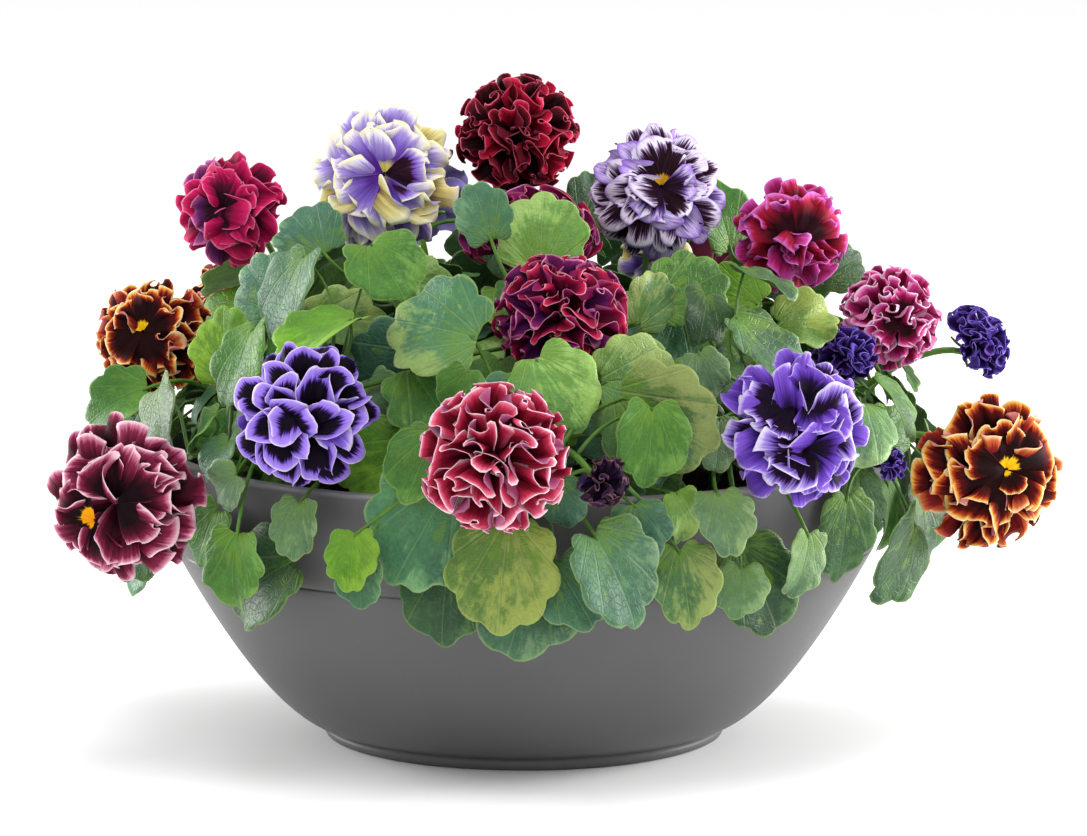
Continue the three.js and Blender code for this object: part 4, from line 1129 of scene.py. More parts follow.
def foliage_skin():
    """Leaf skin: a waxy blade in its own tint, with paler veins, a pale margin and a greyer underside."""
    material = bpy.data.materials.new("pansy_foliage")
    tree, shader = node_tree_of(material)
    x, y, share = split_node(tree, attribute_node(tree, "leaf_place"))
    start, on_blade, under = split_node(tree, attribute_node(tree, "leaf_marks"))
    body, edge = attribute_node(tree, "leaf_tint"), attribute_node(tree, "leaf_edge")

    # The veins: main ones that fan out from the blade's foot, and a fine net between them.
    reach = math_node(tree, "SQRT", plus(tree, times(tree, x, x), times(tree, y, y)))
    turns = math_node(tree, "DIVIDE", math_node(tree, "ARCTAN2", y, x), VEIN_FAN)
    apart = math_node(tree, "ABSOLUTE", minus(tree, turns, math_node(tree, "ROUND", turns)))
    main = step_node(tree, times(tree, times(tree, apart, VEIN_FAN), reach), *VEIN_EDGES)
    cells = tree.nodes.new("ShaderNodeTexVoronoi")
    cells.feature = "DISTANCE_TO_EDGE"
    cells.inputs["Scale"].default_value = NET_SCALE
    tree.links.new(join_node(tree, x, y), cells.inputs["Vector"])
    fine = step_node(tree, cells.outputs["Distance"], 0.09, 0.0)
    net = math_node(tree, "MULTIPLY", plus(tree, main, times(tree, fine, 0.45)), on_blade, clamp=True)

    # The tint varies in clouds, in broad patches, in specks and in streaks that run out along the veins.
    cloud = noise_node(tree, 60.0, 5.0, roughness=0.65)
    broad = noise_node(tree, 22.0, 2.0)
    radial = join_node(tree, times(tree, turns, 4.0), times(tree, reach, 2.5), times(tree, broad, 9.0))
    streak = noise_node(tree, 1.0, 4.0, radial, 0.65)
    speck = noise_node(tree, 420.0, 3.0)
    clouds = [(0.32, (0.42, 0.5, 0.55)), (0.5, (0.92, 0.95, 0.94)), (0.68, (1.4, 1.3, 0.98))]
    streaks = [(0.3, (0.62, 0.7, 0.72)), (0.52, 1.0), (0.72, (1.4, 1.32, 0.95))]
    shaded = varied(tree, body, 0.7, clouds, cloud)
    shaded = varied(tree, shaded, 0.6, [(0.35, (0.6, 0.68, 0.75)), (0.65, (1.3, 1.2, 0.9))], broad)
    shaded = varied(tree, shaded, 0.35, [(0.3, 0.6), (0.7, 1.25)], speck)
    shaded = varied(tree, shaded, times(tree, on_blade, 0.6), streaks, streak)

    # The margin's colour runs in raggedly, the outermost edge is paler, the heart is yellower, and the veins
    # and the underside have tints of their own.
    patch = times(tree, minus(tree, plus(tree, cloud, streak), 1.0), 2.2)
    lean = plus(tree, times(tree, x, 0.45), times(tree, y, 1.1))
    past = minus(tree, plus(tree, plus(tree, times(tree, share, 0.4), lean), patch), start)
    margin = times(tree, step_node(tree, past, -0.25, 0.4), on_blade)
    thin = times(tree, step_node(tree, share, 0.95, 0.995), on_blade)
    heart = times(tree, step_node(tree, plus(tree, reach, patch), 0.5, 0.0), on_blade)
    shaded = laid_over(tree, shaded, margin, 0.62, edge)
    shaded = laid_over(tree, shaded, thin, 0.55, mix_node(tree, 0.5, edge, "#b8cc8a"))
    shaded = laid_over(tree, shaded, heart, 0.5, "#7fa32e")
    shaded = laid_over(tree, shaded, net, 0.22, mix_node(tree, 0.5, edge, "#a9c48c"))
    shaded = laid_over(tree, shaded, under, 0.45, "#7d9a78")
    shaded = mix_node(tree, 1.0, shaded, FOLIAGE_TONE, "MULTIPLY")
    tree.links.new(shaded, shader.inputs["Base Color"])
    shader.inputs["Roughness"].default_value = 0.48
    shader.inputs["Specular IOR Level"].default_value = 0.28
    height = minus(tree, plus(tree, streak, times(tree, speck, 0.3)), net)
    tree.links.new(bump_node(tree, height, 0.0006, 0.7), shader.inputs["Normal"])
    return material


foliage = foliage_skin()
tint_draw = np.random.default_rng(11)
STEM_TINT, CROWN_TINT, SEPAL_TINT = [np.array(paint(code)) for code in ("#5f8a3a", "#7d8a45", "#5d8a3a")]
CROWN_HEIGHTS = np.array(
    [SOIL_HEIGHT - CROWN_DEPTH, SOIL_HEIGHT - 4, SOIL_HEIGHT + 2, CROWN_TOP - 3, CROWN_TOP + 2]
)
CROWN_SHARES = np.array([0.9, 0.95, 1.0, 0.85, 0.5])
CROWN_SIDES, STEM_PARTS, STEM_SIDES, STALK_PARTS, STALK_SIDES = 12, 20, 10, 12, 6
STALK_CLEAR, STALK_ROOT, YOUNG_THICKNESS = 1.0, 0.85, 0.8
SEPALS, SEPAL_SHARE, SEPAL_THICKNESS = 5, 0.2, 0.6


def dome_tint(leaf):
    """Leaves on the left are bright, those in the middle are bluer and those on the right are deep green."""
    x, height = leaf["centre"][0], leaf["centre"][2]
    if x < -50:
        choices = ["green", "green", "lime", "sage", "teal"]
    elif x > 80:
        choices = ["green", "dark", "dark", "green", "dark", "sage"]
    else:
        choices = ["teal", "teal", "green", "dark_teal", "pale"]
    if height < 150:
        choices.append("dark")
    return choices[tint_draw.integers(len(choices))]


def leaf_values(leaf, under, place):
    """The values that the foliage material reads on one blade."""
    body, edge, start = LEAF_TINTS[leaf["tint"] or dome_tint(leaf)]
    jitter = tint_draw.uniform(0.82, 1.18) * tint_draw.uniform(0.93, 1.07, 3)
    marks = np.column_stack([np.full(len(under), start), np.ones(len(under)), under])
    return {
        "leaf_place": place,
        "leaf_tint": np.array(paint(body)) * jitter,
        "leaf_edge": np.array(paint(edge)) * jitter,
        "leaf_marks": marks,
    }


def plain_values(tint, marks):
    """The values that the foliage material reads on what isn't a blade."""
    return {"leaf_place": np.zeros(3), "leaf_tint": tint, "leaf_edge": tint, "leaf_marks": marks}


def green_rod(gathering, points, radii, sides, tint):
    """Adds a stem, a stalk or a crown to a plant."""
    made, faces = tube(points, radii, sides)
    gathering.add(made, faces, **plain_values(tint, np.array([1.0, 0.0, 0.0])))


def sepal(bloom, turn, length):
    """Rows and columns of points of one of the pointed green sepals that clasp the back of a bloom."""
    ahead = aim_of(bloom.turn, bloom.rise)
    right = unit(np.cross([0, 0, 1.0], ahead))
    out = math.cos(turn) * right + math.sin(turn) * np.cross(ahead, right)
    side = np.cross(ahead, out)
    radius = bloom.size / 2
    start = np.array(bloom.centre, float) - ahead * radius * 0.34
    u = np.linspace(0, 1, 6)[:, None]
    v = np.linspace(-1, 1, 5)[None, :]
    width = 0.16 * length * np.sin(math.pi * (0.18 + 0.8 * u)) ** 0.8
    back = 0.05 * radius * np.sin(math.pi * u) + 0.1 * radius * u**2 - 0.06 * length * v**2
    reach = 1.5 + u * length
    return start + out * reach[..., None] - ahead * back[..., None] + side * (width * v)[..., None]


def grid_faces(rows, columns):
    """Faces of a sheet of rows and columns of points, and the loop round its margin."""
    k = np.arange(rows * columns).reshape(rows, columns)
    quads = np.stack([k[:-1, :-1], k[:-1, 1:], k[1:, 1:], k[1:, :-1]], -1).reshape(-1, 4)
    rim = np.concatenate([k[0, :-1], k[:-1, -1], k[-1, :0:-1], k[:0:-1, 0]])
    return [quads], rim


def add_flower_stem(gathering, plant, bloom):
    """Adds a flower stem and the sepals at its end."""
    points, _ = spaced(stem_curve(plant, bloom), STEM_PARTS)
    radii = STEM_RADIUS * (1.12 - 0.24 * np.linspace(0, 1, STEM_PARTS + 1))
    green_rod(gathering, points, radii, STEM_SIDES, STEM_TINT * tint_draw.uniform(0.85, 1.15))
    for j in range(SEPALS):
        sheet = sepal(bloom, 2 * math.pi * (j + 0.3) / SEPALS, bloom.size * SEPAL_SHARE)
        faces, rim = grid_faces(*sheet.shape[:2])
        made, faces, under = sheet_solid(sheet.reshape(-1, 3), faces, rim, SEPAL_THICKNESS)
        marks = np.column_stack([np.full(len(under), 0.95), np.zeros(len(under)), under])
        gathering.add(made, faces, **plain_values(SEPAL_TINT, marks))


def add_leaf(gathering, leaf, stem_points):
    """Adds a leaf and the stalk that runs from its blade to the nearest point of its plant's stems."""
    made, faces, under, place = blade(leaf)
    gathering.add(made, faces, **leaf_values(leaf, under, place))
    end = stem_points[int(np.argmin(((stem_points - leaf["from"]) ** 2).sum(1)))]
    curve = stalk_curve(leaf, end)
    line = bezier(*curve, STALK_SHARES)
    cuts_bloom = in_a_bloom(line[:-2], STALK_CLEAR).any()
    # A stalk that would run through a bloom, or a larger leaf's that would run through a blade, takes the
    # plainer curve.
    if cuts_bloom or ("young" not in leaf and pierced(leaves, line[None]).any()):
        curve = (*petiole_curve(leaf)[:3], end)
    inner = blade_foot(leaf, STALK_ROOT) - 0.5 * leaf["up"]
    points = np.vstack([inner, spaced(curve, STALK_PARTS)[0]])
    thick = YOUNG_THICKNESS if "young" in leaf else 1.0
    radii = thick * np.concatenate([[0.35], np.linspace(0.9, 1.4, STALK_PARTS + 1)])
    green_rod(gathering, points, radii, STALK_SIDES, STEM_TINT * tint_draw.uniform(0.7, 1.05))


def plant_piece(plant, owner):
    """A plant: its crown, its flower stems with the sepals behind each bloom, and its leaves on stalks."""
    gathering = Gathering()
    post = np.column_stack([np.tile(plant.root, (len(CROWN_HEIGHTS), 1)), CROWN_HEIGHTS])
    green_rod(gathering, post, CROWN_RADIUS * CROWN_SHARES, CROWN_SIDES, CROWN_TINT)
    for k in plant.blooms:
        add_flower_stem(gathering, plant, BLOOMS[k])
    stem_points = np.concatenate([spaced(stem_curve(plant, BLOOMS[k]), 120)[0] for k in plant.blooms])
    for leaf in leaves:
        if leaf["owner"] == owner:
            add_leaf(gathering, leaf, stem_points)
    gathering.make(f"foliage_{plant.name}", foliage, [f"plant_{plant.name}"])


for owner, plant in enumerate(PLANTS):
    plant_piece(plant, owner)

# The blooms: full ruffled pansies, each a ball of thin velvety petals that spread from one heart. A petal is
# dark where it leaves the heart, partly in its own colour and partly with painted shade for the depth of the
# folds, often rayed, and has a thin pale margin that runs in and out in tight folds.
PETAL_ROWS = np.array([0.05, 0.35, 0.6, 0.76, 0.88, 0.96, 1.0])
PETAL_THICKNESS = 0.55
PETAL_SPREAD = math.radians(110)
BALL_FRONT, BALL_BACK, BALL_SOFT, BALL_SLACK = 0.8, 0.4, 0.84, (1.0, 1.06)
FACE_REACH, FACE_WIDTH, FACE_HIDDEN = 0.93, 0.8, 0.6
EYE_REACH, EYE_EDGES = 0.42, (0.3, 0.42)
BLOOM_SEEDS = 100
SMALL_BLOOM = 60

# How each variety's petals grow: how many, half their width as a share of the bloom's radius, how far they
# lean out, how tightly their margins fold in degrees, how close to the margin those folds keep, how many
# folds, how much shorter they are at their sides, how long they are, how far round they are turned, and how
# many points lie across them.
Habit = namedtuple("Habit", "petals width lean fold onset folds fan tips sway columns")
HABITS = {
    "frilled": Habit(50, 0.31, 0.22, 106, 1.3, 1.6, 0.36, (1.04, 1.16), 0.8, 23),
    "curled": Habit(38, 0.36, 0.5, 96, 2.0, 1.5, 0.42, (0.96, 1.14), 0.8, 25),
    "scalloped": Habit(36, 0.35, 0.7, 66, 1.5, 1.05, 0.34, (0.98, 1.14), 0.8, 21),
    "broad": Habit(28, 0.46, 0.6, 78, 1.8, 1.5, 0.46, (0.96, 1.14), 0.9, 31),
    "fanned": Habit(28, 0.46, 0.78, 88, 2.2, 1.9, 0.5, (0.94, 1.14), 0.9, 33),
    "shrivelled": Habit(20, 0.5, 0.1, 125, 1.1, 2.6, 0.3, (0.75, 1.1), 1.6, 31),
}

# The open faces of single blooms: where the petals' feet meet, across and up as shares of the bloom's radius,
# and each petal's direction in degrees, its length as a share of the radius, its half angle, how odd it is,
# with 2 for the one that has the blotched shades, and how strongly its foot shows the eye's colour.
FACES = {
    "copper_right": [
        (0.04, 0.14, [(95, 0.62, 40, 0, 1), (22, 0.78, 46, 0, 1), (-48, 0.66, 42, 0.3, 0),
                      (225, 0.85, 50, 0, 0), (158, 0.6, 36, 0, 0), (-70, 0.34, 44, 0.4, 1)]),
    ],
    "copper_left": [
        (-0.03, 0.12, [(75, 0.7, 46, 0, 1), (8, 0.66, 44, 0, 0), (-65, 0.72, 48, 0, 0), (205, 0.75, 46, 0, 0),
                       (140, 0.6, 36, 0, 1)]),
    ],
    "copper_back": [
        (0.0, 0.1, [(90, 0.7, 46, 0, 1), (15, 0.7, 46, 0, 0), (-60, 0.75, 46, 0, 0), (225, 0.75, 46, 0, 0),
                    (155, 0.6, 40, 0, 1)]),
    ],
    "burgundy_left": [
        (-0.17, -0.24, [(145, 0.62, 50, 0, 1.8), (212, 0.5, 38, 0, 0.9), (-85, 0.6, 50, 0, 0)]),
        (0.16, 0.04, [(118, 0.6, 42, 0.3, 0), (62, 0.75, 40, 0, 0), (14, 0.7, 44, 0, 0),
                      (-38, 0.62, 42, 0, 0)]),
    ],
    "burgundy_back": [
        (0.0, 0.0, [(90, 0.7, 46, 0, 1), (15, 0.7, 46, 0, 0), (-60, 0.7, 46, 0, 0), (225, 0.7, 46, 0, 0),
                    (155, 0.7, 42, 0, 1)]),
    ],
    "violet_front": [
        (0.02, 0.4, [(85, 0.42, 60, 0, 0), (-12, 0.48, 55, 0, 0), (-82, 0.5, 50, 0, 0)]),
        (-0.2, 0.3, [(178, 0.62, 46, 1, 0), (235, 0.5, 34, 1, 0)]),
        (-0.08, -0.3, [(-70, 0.6, 42, 0, 0), (-12, 0.6, 40, 0, 0), (-130, 0.6, 40, 1, 0)]),
    ],
    "lavender_left": [
        (0.1, 0.05, [(-4, 0.6, 52, 2, 0), (72, 0.75, 46, 0, 2.4), (140, 0.8, 48, 0, 0), (208, 0.75, 44, 0, 0),
                     (-78, 0.75, 48, 0, 0.9)]),
    ],
    "lavender_back": [
        (0.0, 0.05, [(0, 0.65, 50, 2, 0), (72, 0.7, 46, 0, 1.8), (145, 0.7, 46, 0, 0), (215, 0.7, 46, 0, 0),
                     (-72, 0.7, 46, 0, 0)]),
    ],
    "blotched_right": [
        (0.0, 0.14, [(88, 0.72, 52, 0, 1), (8, 0.55, 38, 0.6, 0), (172, 0.55, 38, 0, 0), (-66, 0.6, 42, 0, 0),
                     (238, 0.6, 42, 0.6, 0)]),
    ],
    "magenta_rim": [
        (0.02, -0.12, [(52, 0.98, 46, 0, 0), (130, 0.98, 48, 0, 0), (-90, 0.4, 52, 1, 0)]),
    ],
    "pink_rim": [
        (0.05, 0.0, [(70, 0.6, 46, 0, 0), (205, 0.62, 46, 0, 0), (-50, 0.62, 46, 0, 0)]),
    ],
    "magenta_left": [
        (0.0, 0.05, [(100, 0.7, 48, 0, 0), (20, 0.62, 44, 0, 0), (-60, 0.7, 46, 0, 0),
                     (200, 0.62, 46, 1, 0)]),
    ],
}

# Each variety: its habit, the share of its petals that are odd, how ragged the shades' borders are, the
# colour and strength of its rays and the petal's reverse. Then the colour of its eye, if that shows, and how
# softly that fades, and its shades from the petal's foot to its margin: the common ones, those of the odd
# petals, and those of a blotched petal, if it has one.
VARIETIES = {
    "magenta": dict(
        habit="broad", odds=0.3, ragged=0.12, rays=("#5e0a30", 0.25), reverse="#8a1e5a",
        shades=((0.4, "#16020c"), (0.66, "#500628"), (0.84, "#a00a44"), (0.965, "#c4205e"), (1.0, "#e880a6")),
        odd=((0.5, "#1a0414"), (0.76, "#501a50"), (0.93, "#94407c"), (1.0, "#e688b6")),
    ),
    "lavender": dict(
        habit="fanned", odds=0.3, ragged=0.16, rays=("#40204c", 0.45), reverse="#8f80cf", eye="#dccf62",
        eye_fades=1.6,
        shades=((0.3, "#4a2080"), (0.6, "#7658b8"), (0.82, "#a290d2"), (0.92, "#e0d8e4"), (1.0, "#f8f2bc")),
        odd=((0.45, "#3a1420"), (0.62, "#86664a"), (0.76, "#d2c070"), (0.9, "#ece2a0"), (1.0, "#faf6da")),
        blotched=((0.5, "#1c0610"), (0.66, "#2c0c1c"), (0.72, "#6a40ac"), (0.88, "#a890d8"),
                  (1.0, "#f8f4cc")),
    ),
    "dark_red": dict(
        habit="frilled", odds=0.35, ragged=0.1, rays=("#200408", 0.3), reverse="#5a0a1c",
        shades=((0.6, "#0a0104"), (0.82, "#24030a"), (0.93, "#560818"), (0.97, "#860c26"), (1.0, "#d2607c")),
        odd=((0.5, "#1a0206"), (0.75, "#5e0816"), (0.93, "#b01034"), (0.98, "#c82448"), (1.0, "#e27490")),
    ),
    "blotched": dict(
        habit="scalloped", odds=0.3, ragged=0.26, rays=("#3a1420", 0.6), reverse="#9266c6", eye="#d8a020",
        shades=((0.5, "#140410"), (0.79, "#220a18"), (0.85, "#7a5a8e"), (0.9, "#e8e0f0"), (0.96, "#ddd0ee"),
                (1.0, "#b094da")),
        odd=((0.6, "#1a0620"), (0.72, "#6a4aa0"), (0.85, "#cdbde6"), (0.95, "#a686d4"), (1.0, "#8c62c4")),
    ),
    "magenta_rimmed": dict(
        habit="curled", odds=0.35, ragged=0.14, rays=("#3c0410", 0.5), reverse="#b03a90",
        shades=((0.55, "#22020c"), (0.74, "#740a20"), (0.87, "#a01636"), (0.945, "#c04486"),
                (1.0, "#d67acc")),
        odd=((0.5, "#3e061e"), (0.8, "#961654"), (0.95, "#c2489c"), (1.0, "#da8cd2")),
    ),
    "pink_rimmed": dict(
        habit="frilled", odds=0.2, ragged=0.08, rays=("#4a0620", 0.25), reverse="#c86898",
        shades=((0.58, "#22020c"), (0.78, "#860c3e"), (0.89, "#c43c82"), (0.955, "#e48cc0"),
                (1.0, "#fce4f4")),
        odd=((0.6, "#4a0824"), (0.85, "#b02c6c"), (0.95, "#e484b8"), (1.0, "#fce4f2")),
    ),
    "purple": dict(
        habit="frilled", odds=0.2, ragged=0.1, rays=("#1e0a3a", 0.3), reverse="#5a42a8",
        shades=((0.6, "#0c0412"), (0.84, "#281256"), (0.96, "#4e3294"), (1.0, "#8e78c8")),
        odd=((0.6, "#140820"), (0.9, "#341660"), (1.0, "#7c5cc0")),
    ),
    "copper": dict(
        habit="curled", odds=0.3, ragged=0.1, rays=("#340808", 0.4), reverse="#c05c70", eye="#ffc414",
        shades=((0.7, "#1a0304"), (0.85, "#540a0c"), (0.915, "#b0401e"), (0.955, "#e8a03a"),
                (1.0, "#fcecb8")),
        odd=((0.6, "#2a0606"), (0.82, "#82181a"), (0.93, "#cc6438"), (1.0, "#f8d4a0")),
    ),
    "violet": dict(
        habit="fanned", odds=0.35, ragged=0.16, rays=("#2a0a44", 0.3), reverse="#8a66c4",
        shades=((0.42, "#0a0210"), (0.6, "#20093e"), (0.76, "#54309c"), (0.955, "#7c56c4"), (1.0, "#d0c0ee")),
        odd=((0.6, "#0c0212"), (0.81, "#180620"), (0.86, "#5c3c98"), (0.94, "#9c84d4"), (1.0, "#ece4f8")),
    ),
    "rose_rimmed": dict(
        habit="frilled", odds=0.15, ragged=0.06, rays=("#3a0614", 0.2), reverse="#8a3a66",
        shades=((0.6, "#14010a"), (0.78, "#780c24"), (0.89, "#b82c4c"), (0.96, "#d86c88"), (1.0, "#fae2e8")),
        odd=((0.56, "#34040e"), (0.78, "#9c1638"), (0.91, "#d45a7a"), (1.0, "#f8dce4")),
    ),
    "crimson": dict(
        habit="frilled", odds=0.4, ragged=0.08, rays=("#300618", 0.25), reverse="#7c1650",
        shades=((0.55, "#1c0414"), (0.8, "#600a30"), (0.93, "#a2143e"), (0.978, "#bc2850"), (1.0, "#e4a4b6")),
        odd=((0.55, "#180418"), (0.8, "#481048"), (0.95, "#7c1c5a"), (1.0, "#dc94b4")),
    ),
    "purple_rimmed": dict(
        habit="scalloped", odds=0.15, ragged=0.08, rays=("#1c0a2c", 0.2), reverse="#6c4cb4",
        shades=((0.5, "#060109"), (0.84, "#0c0214"), (0.865, "#402078"), (0.9, "#8668d0"), (0.97, "#a488e2"),
                (1.0, "#e8dafa")),
        odd=((0.5, "#221050"), (0.78, "#4a2c96"), (0.9, "#8468d0"), (1.0, "#dcd0f4")),
    ),
    "burgundy": dict(
        habit="fanned", odds=0.05, ragged=0.12, rays=("#1c040c", 0.4), reverse="#7a2c48", eye="#f09c0c",
        shades=((0.56, "#120208"), (0.77, "#420a1c"), (0.9, "#7c2040"), (0.955, "#c0708c"), (1.0, "#fadce4")),
        odd=((0.5, "#2c0810"), (0.78, "#8c2c3c"), (0.92, "#d4847c"), (1.0, "#f8e0d4")),
    ),
    "withered": dict(
        habit="shrivelled", odds=0.3, ragged=0.2, rays=("#120814", 0.5), reverse="#2c1c34",
        shades=((0.5, "#100614"), (0.8, "#241232"), (0.95, "#3c2238"), (1.0, "#86605c")),
        odd=((0.5, "#140a20"), (0.85, "#2a1a48"), (1.0, "#6c4a52")),
    ),
}


def petal_velvet(name, variety):
    """Petal skin: velvet that goes from a dark ragged foot, partly a blotch and partly painted shade for the
    depth of the folds, through its main colour to a thin pale margin."""
    material = bpy.data.materials.new(f"velvet_{name}")
    tree, shader = node_tree_of(material)
    across, along, seed = split_node(tree, attribute_node(tree, "petal_place"))
    odd, under, eye = split_node(tree, attribute_node(tree, "petal_marks"))

    def streaks(fineness, stretch):
        place = join_node(tree, times(tree, across, fineness), times(tree, along, stretch), seed)
        return noise_node(tree, 1.0, 2.0, place, 0.6)

    # The shades' borders are ragged, except close to the margin.
    ragged = minus(tree, streaks(7.0, 1.2), 0.5)
    fine = streaks(26.0, 1.6)
    shift = plus(tree, ragged, times(tree, minus(tree, fine, 0.5), 0.9))
    calm = times(tree, step_node(tree, along, 1.02, 0.84), 2.2 * variety["ragged"])
    reach = plus(tree, along, times(tree, shift, calm))
    # The shades' dark foot is partly the petal's own blotch and partly painted shade for the depth of the
    # folds.
    common, rare = ramp_node(tree, variety["shades"], reach), ramp_node(tree, variety["odd"], reach)
    shade = mix_node(tree, step_node(tree, odd, 0.35, 0.65), common, rare)
    if "eye" in variety:
        near = plus(tree, eye, times(tree, shift, 0.55))
        shows = step_node(tree, near, EYE_EDGES[0], variety.get("eye_fades", EYE_EDGES[1]))
        shade = mix_node(tree, shows, shade, variety["eye"])
    if "blotched" in variety:
        blotched = ramp_node(tree, variety["blotched"], reach)
        shade = mix_node(tree, step_node(tree, odd, 1.35, 1.65), shade, blotched)
    rays, strength = variety["rays"]
    lines = times(tree, step_node(tree, fine, 0.53, 0.62), step_node(tree, along, 0.98, 0.7))
    shade = laid_over(tree, shade, lines, strength, rays)
    shade = laid_over(tree, shade, under, 0.85, variety["reverse"])
    shade = varied(tree, shade, 0.4, [(0.3, 0.7), (0.7, 1.2)], noise_node(tree, 130.0, 3.0))
    tree.links.new(shade, shader.inputs["Base Color"])
    shader.inputs["Roughness"].default_value = 0.62
    shader.inputs["Specular IOR Level"].default_value = 0.07
    tree.links.new(bump_node(tree, fine, 0.0003, 0.4), shader.inputs["Normal"])
    return material


def ruffled(strengths, folds, phases, columns):
    """Rows of points across a petal, as (across, aside), that swing to and fro like a slow river. Each row
    has its own strength, in radians, and is as long from end to end as the others."""
    s = np.linspace(-1, 1, columns)
    swing = np.cos(math.pi * folds * s + phases[0]) + 0.35 * np.cos(2.3 * math.pi * folds * s + phases[1])
    angle = strengths[:, None] * swing[None]
    steps = [(f(angle[:, 1:]) + f(angle[:, :-1])) / (columns - 1) for f in (np.cos, np.sin)]
    start = np.zeros((len(strengths), 1))
    across, aside = [np.concatenate([start, np.cumsum(step, 1)], 1) for step in steps]
    chord = np.maximum(across[:, -1:], 0.55)
    slope = aside[:, -1:] / chord
    aside = aside - slope * across
    return (across - across[:, -1:] / 2) * 2 / chord, (aside - aside.mean(1, keepdims=True)) * 2 / chord


def petal(radius, polar, around, habit, draw):
    """Rows and columns of points of one petal in its bloom's frame, where the bloom looks along Z. polar is
    how far the petal points away from that, and around where round the bloom it stands."""
    round_it = np.array([math.cos(around), math.sin(around), 0.0])
    ahead = round_it * math.sin(polar) + np.array([0, 0, math.cos(polar)])
    outward = round_it * math.cos(polar) - np.array([0, 0, math.sin(polar)])
    sideways = np.array([-math.sin(around), math.cos(around), 0.0])
    sway = habit.sway * draw.uniform(-1, 1) * (1.3 - 0.7 * polar)
    across = math.cos(sway) * sideways + math.sin(sway) * outward
    away = -math.sin(sway) * sideways + math.cos(sway) * outward
    s = np.linspace(-1, 1, habit.columns)
    t = (PETAL_ROWS[:, None] * (1 - habit.fan * np.abs(s[None]) ** 2.0))[..., None]
    foot = np.array([0, 0, -0.12]) * radius
    bend = (ahead * 0.6 - away * habit.lean * draw.uniform(0.75, 1.25)) * radius
    tip = ahead * radius * draw.uniform(*habit.tips)
    middle = (1 - t) ** 2 * foot + 2 * t * (1 - t) * bend + t**2 * tip
    way = 2 * (1 - t) * (bend - foot) + 2 * t * (tip - bend)
    aside = np.cross(across, way)
    aside /= np.sqrt((aside**2).sum(-1, keepdims=True))
    strengths = math.radians(habit.fold * draw.uniform(0.85, 1.15)) * PETAL_ROWS**habit.onset
    phases = draw.uniform(0, 2 * math.pi, 2)
    over, out = ruffled(strengths, habit.folds * draw.uniform(0.8, 1.2), phases, habit.columns)
    width = habit.width * radius * draw.uniform(0.78, 1.16) * (0.1 + 0.9 * t[..., 0] ** 0.85)
    crimp = 0.012 * radius * np.sin(19 * s + phases[0])[None] * PETAL_ROWS[:, None] ** 6
    return middle + across * (width * over)[..., None] - aside * (width * out + crimp)[..., None]


def face_petal(radius, hub, spec, habit, draw):
    """Rows and columns of points of a petal that lies open over the front of its bloom, its foot sunk at
    hub."""
    direction, length, half = math.radians(spec[0]), spec[1], math.radians(spec[2])
    strengths = math.radians(habit.fold) * PETAL_ROWS**2.5
    folds = 1.5 + 1.1 * length
    over, out = ruffled(strengths, folds, draw.uniform(0, 2 * math.pi, 2), habit.columns)
    t = PETAL_ROWS[:, None] * (1 - 0.16 * np.abs(over).clip(0, 1) ** 3)
    angle = direction + half * over
    flat = np.stack([hub[0] + t * length * np.cos(angle), hub[1] + t * length * np.sin(angle)], -1)
    off = np.sqrt((flat**2).sum(-1))
    flat *= np.where(off > FACE_REACH, FACE_REACH / np.maximum(off, 1e-6), 1)[..., None]
    rise = np.sqrt(1 - np.minimum(off, FACE_REACH) ** 2)
    depth = 0.74 + 0.2 * t**1.5 + 0.045 * over * t
    puff = out * half * length * t * 1.15
    puff += 0.012 * np.sin(21 * over) * PETAL_ROWS[:, None] ** 6
    sheet = np.concatenate([flat * depth[..., None] ** 0.5, (rise * depth + puff * 0.8)[..., None]], -1)
    return sheet * radius


def on_face(name, polar, around):
    """True where a bloom's open face leaves no room for an upright petal."""
    if polar > math.pi / 2:
        return False
    at = math.sin(polar) * math.cos(around), math.sin(polar) * math.sin(around)
    for x, y, fans in FACES.get(name, []):
        away = math.hypot(at[0] - x, at[1] - y)
        toward = math.degrees(math.atan2(at[1] - y, at[0] - x))
        for direction, length, half, _, _ in fans:
            if away < 0.82 * length and abs((toward - direction + 180) % 360 - 180) < half:
                return True
    return False


def in_ball(points, radius, slack):
    """Petals pressed softly into the ball that the bloom fills, which is flatter behind than in front."""
    points = points * np.array([1, 1, BALL_FRONT])
    depth = np.where(points[..., 2] > 0, BALL_FRONT, BALL_BACK)
    reach = np.sqrt(points[..., 0] ** 2 + points[..., 1] ** 2 + (points[..., 2] / depth) ** 2) / radius
    free = BALL_SOFT * slack
    pressed = free + (slack - free) * (1 - np.exp(-np.maximum(reach - free, 0) / (slack - free)))
    limit = np.where(reach > free, pressed / np.maximum(reach, 1e-6), 1)
    return points * limit[..., None]


velvets = {name: petal_velvet(name, variety) for name, variety in VARIETIES.items()}


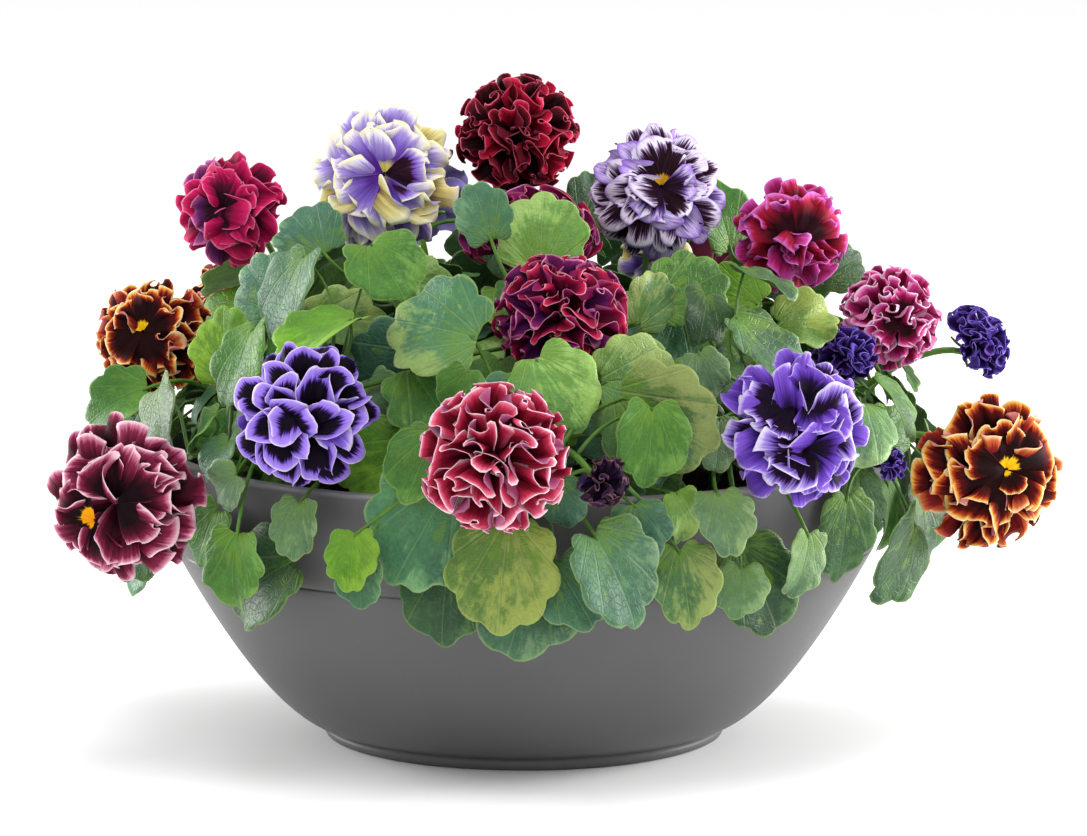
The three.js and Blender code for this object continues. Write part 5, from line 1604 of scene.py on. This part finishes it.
def add_petal(gathering, sheet, habit, place, marks, draw, hidden=0.0):
    """Thickens a petal, puts it on its bloom, and notes what the velvet reads on it. place is the bloom's
    radius, frame and centre. marks says how odd the petal is and how strongly its foot has the eye's colour,
    and hidden how soon its side margins lose their pale line towards the foot."""
    radius, rows, centre = place
    flat = in_ball(sheet, radius, draw.uniform(*BALL_SLACK)).reshape(-1, 3)
    quads, rim = grid_faces(len(PETAL_ROWS), habit.columns)
    across = np.tile(np.linspace(-1, 1, habit.columns), len(PETAL_ROWS))
    along = np.repeat(PETAL_ROWS, habit.columns)
    made, faces, outer_side = sheet_solid(flat, quads, rim, PETAL_THICKNESS * (1.5 - along))
    from_side = (1 - np.abs(across)) * habit.width * 1.2 + hidden * (1 - along)
    from_edge = np.minimum(1 - along, from_side)
    seed = np.full(2 * len(along), draw.uniform(0, 60))
    eye = np.tile(marks[1] * np.maximum(0, 1 - along / EYE_REACH), 2)
    gathering.add(
        made @ rows + centre,
        faces,
        petal_place=np.column_stack([np.tile(across, 2), np.tile(1 - from_edge, 2), seed]),
        petal_marks=np.column_stack([np.full(len(seed), marks[0]), 1 - outer_side, eye]),
    )


def bloom_piece(index, bloom):
    """A bloom: petals spread evenly over the front of a ball, from the middle to behind its widest, and those
    of its open face."""
    variety = VARIETIES[bloom.variety]
    habit = HABITS[variety["habit"]]
    draw = np.random.default_rng(BLOOM_SEEDS + index)
    ahead = aim_of(bloom.turn, bloom.rise)
    right = unit(np.cross([0, 0, 1.0], ahead))
    radius = bloom.size / 2
    place = radius, np.stack([right, np.cross(ahead, right), ahead]), np.array(bloom.centre, float)
    gathering = Gathering()
    count = round(habit.petals * min(1, bloom.size / SMALL_BLOOM + 0.1))
    spin = draw.uniform(0, 2 * math.pi)
    for k in range(count):
        polar = math.acos(1 - (k + 0.6) / count * (1 - math.cos(PETAL_SPREAD)))
        around = spin + math.radians(GOLDEN) * k + draw.uniform(-0.2, 0.2)
        odd = 1.0 if draw.uniform() < variety["odds"] else 0.0
        if not on_face(bloom.name, polar, around):
            add_petal(gathering, petal(radius, polar, around, habit, draw), habit, place, (odd, 0.0), draw)
    wide = HABITS["fanned"]._replace(width=FACE_WIDTH)
    for x, y, fans in FACES.get(bloom.name, []):
        for spec in fans:
            sheet = face_petal(radius, (x, y), spec, wide, draw)
            add_petal(gathering, sheet, wide, place, spec[3:], draw, FACE_HIDDEN)
    gathering.make(f"petals_{bloom.name}", velvets[bloom.variety], [f"bloom_{bloom.name}"])


for index, bloom in enumerate(BLOOMS):
    bloom_piece(index, bloom)
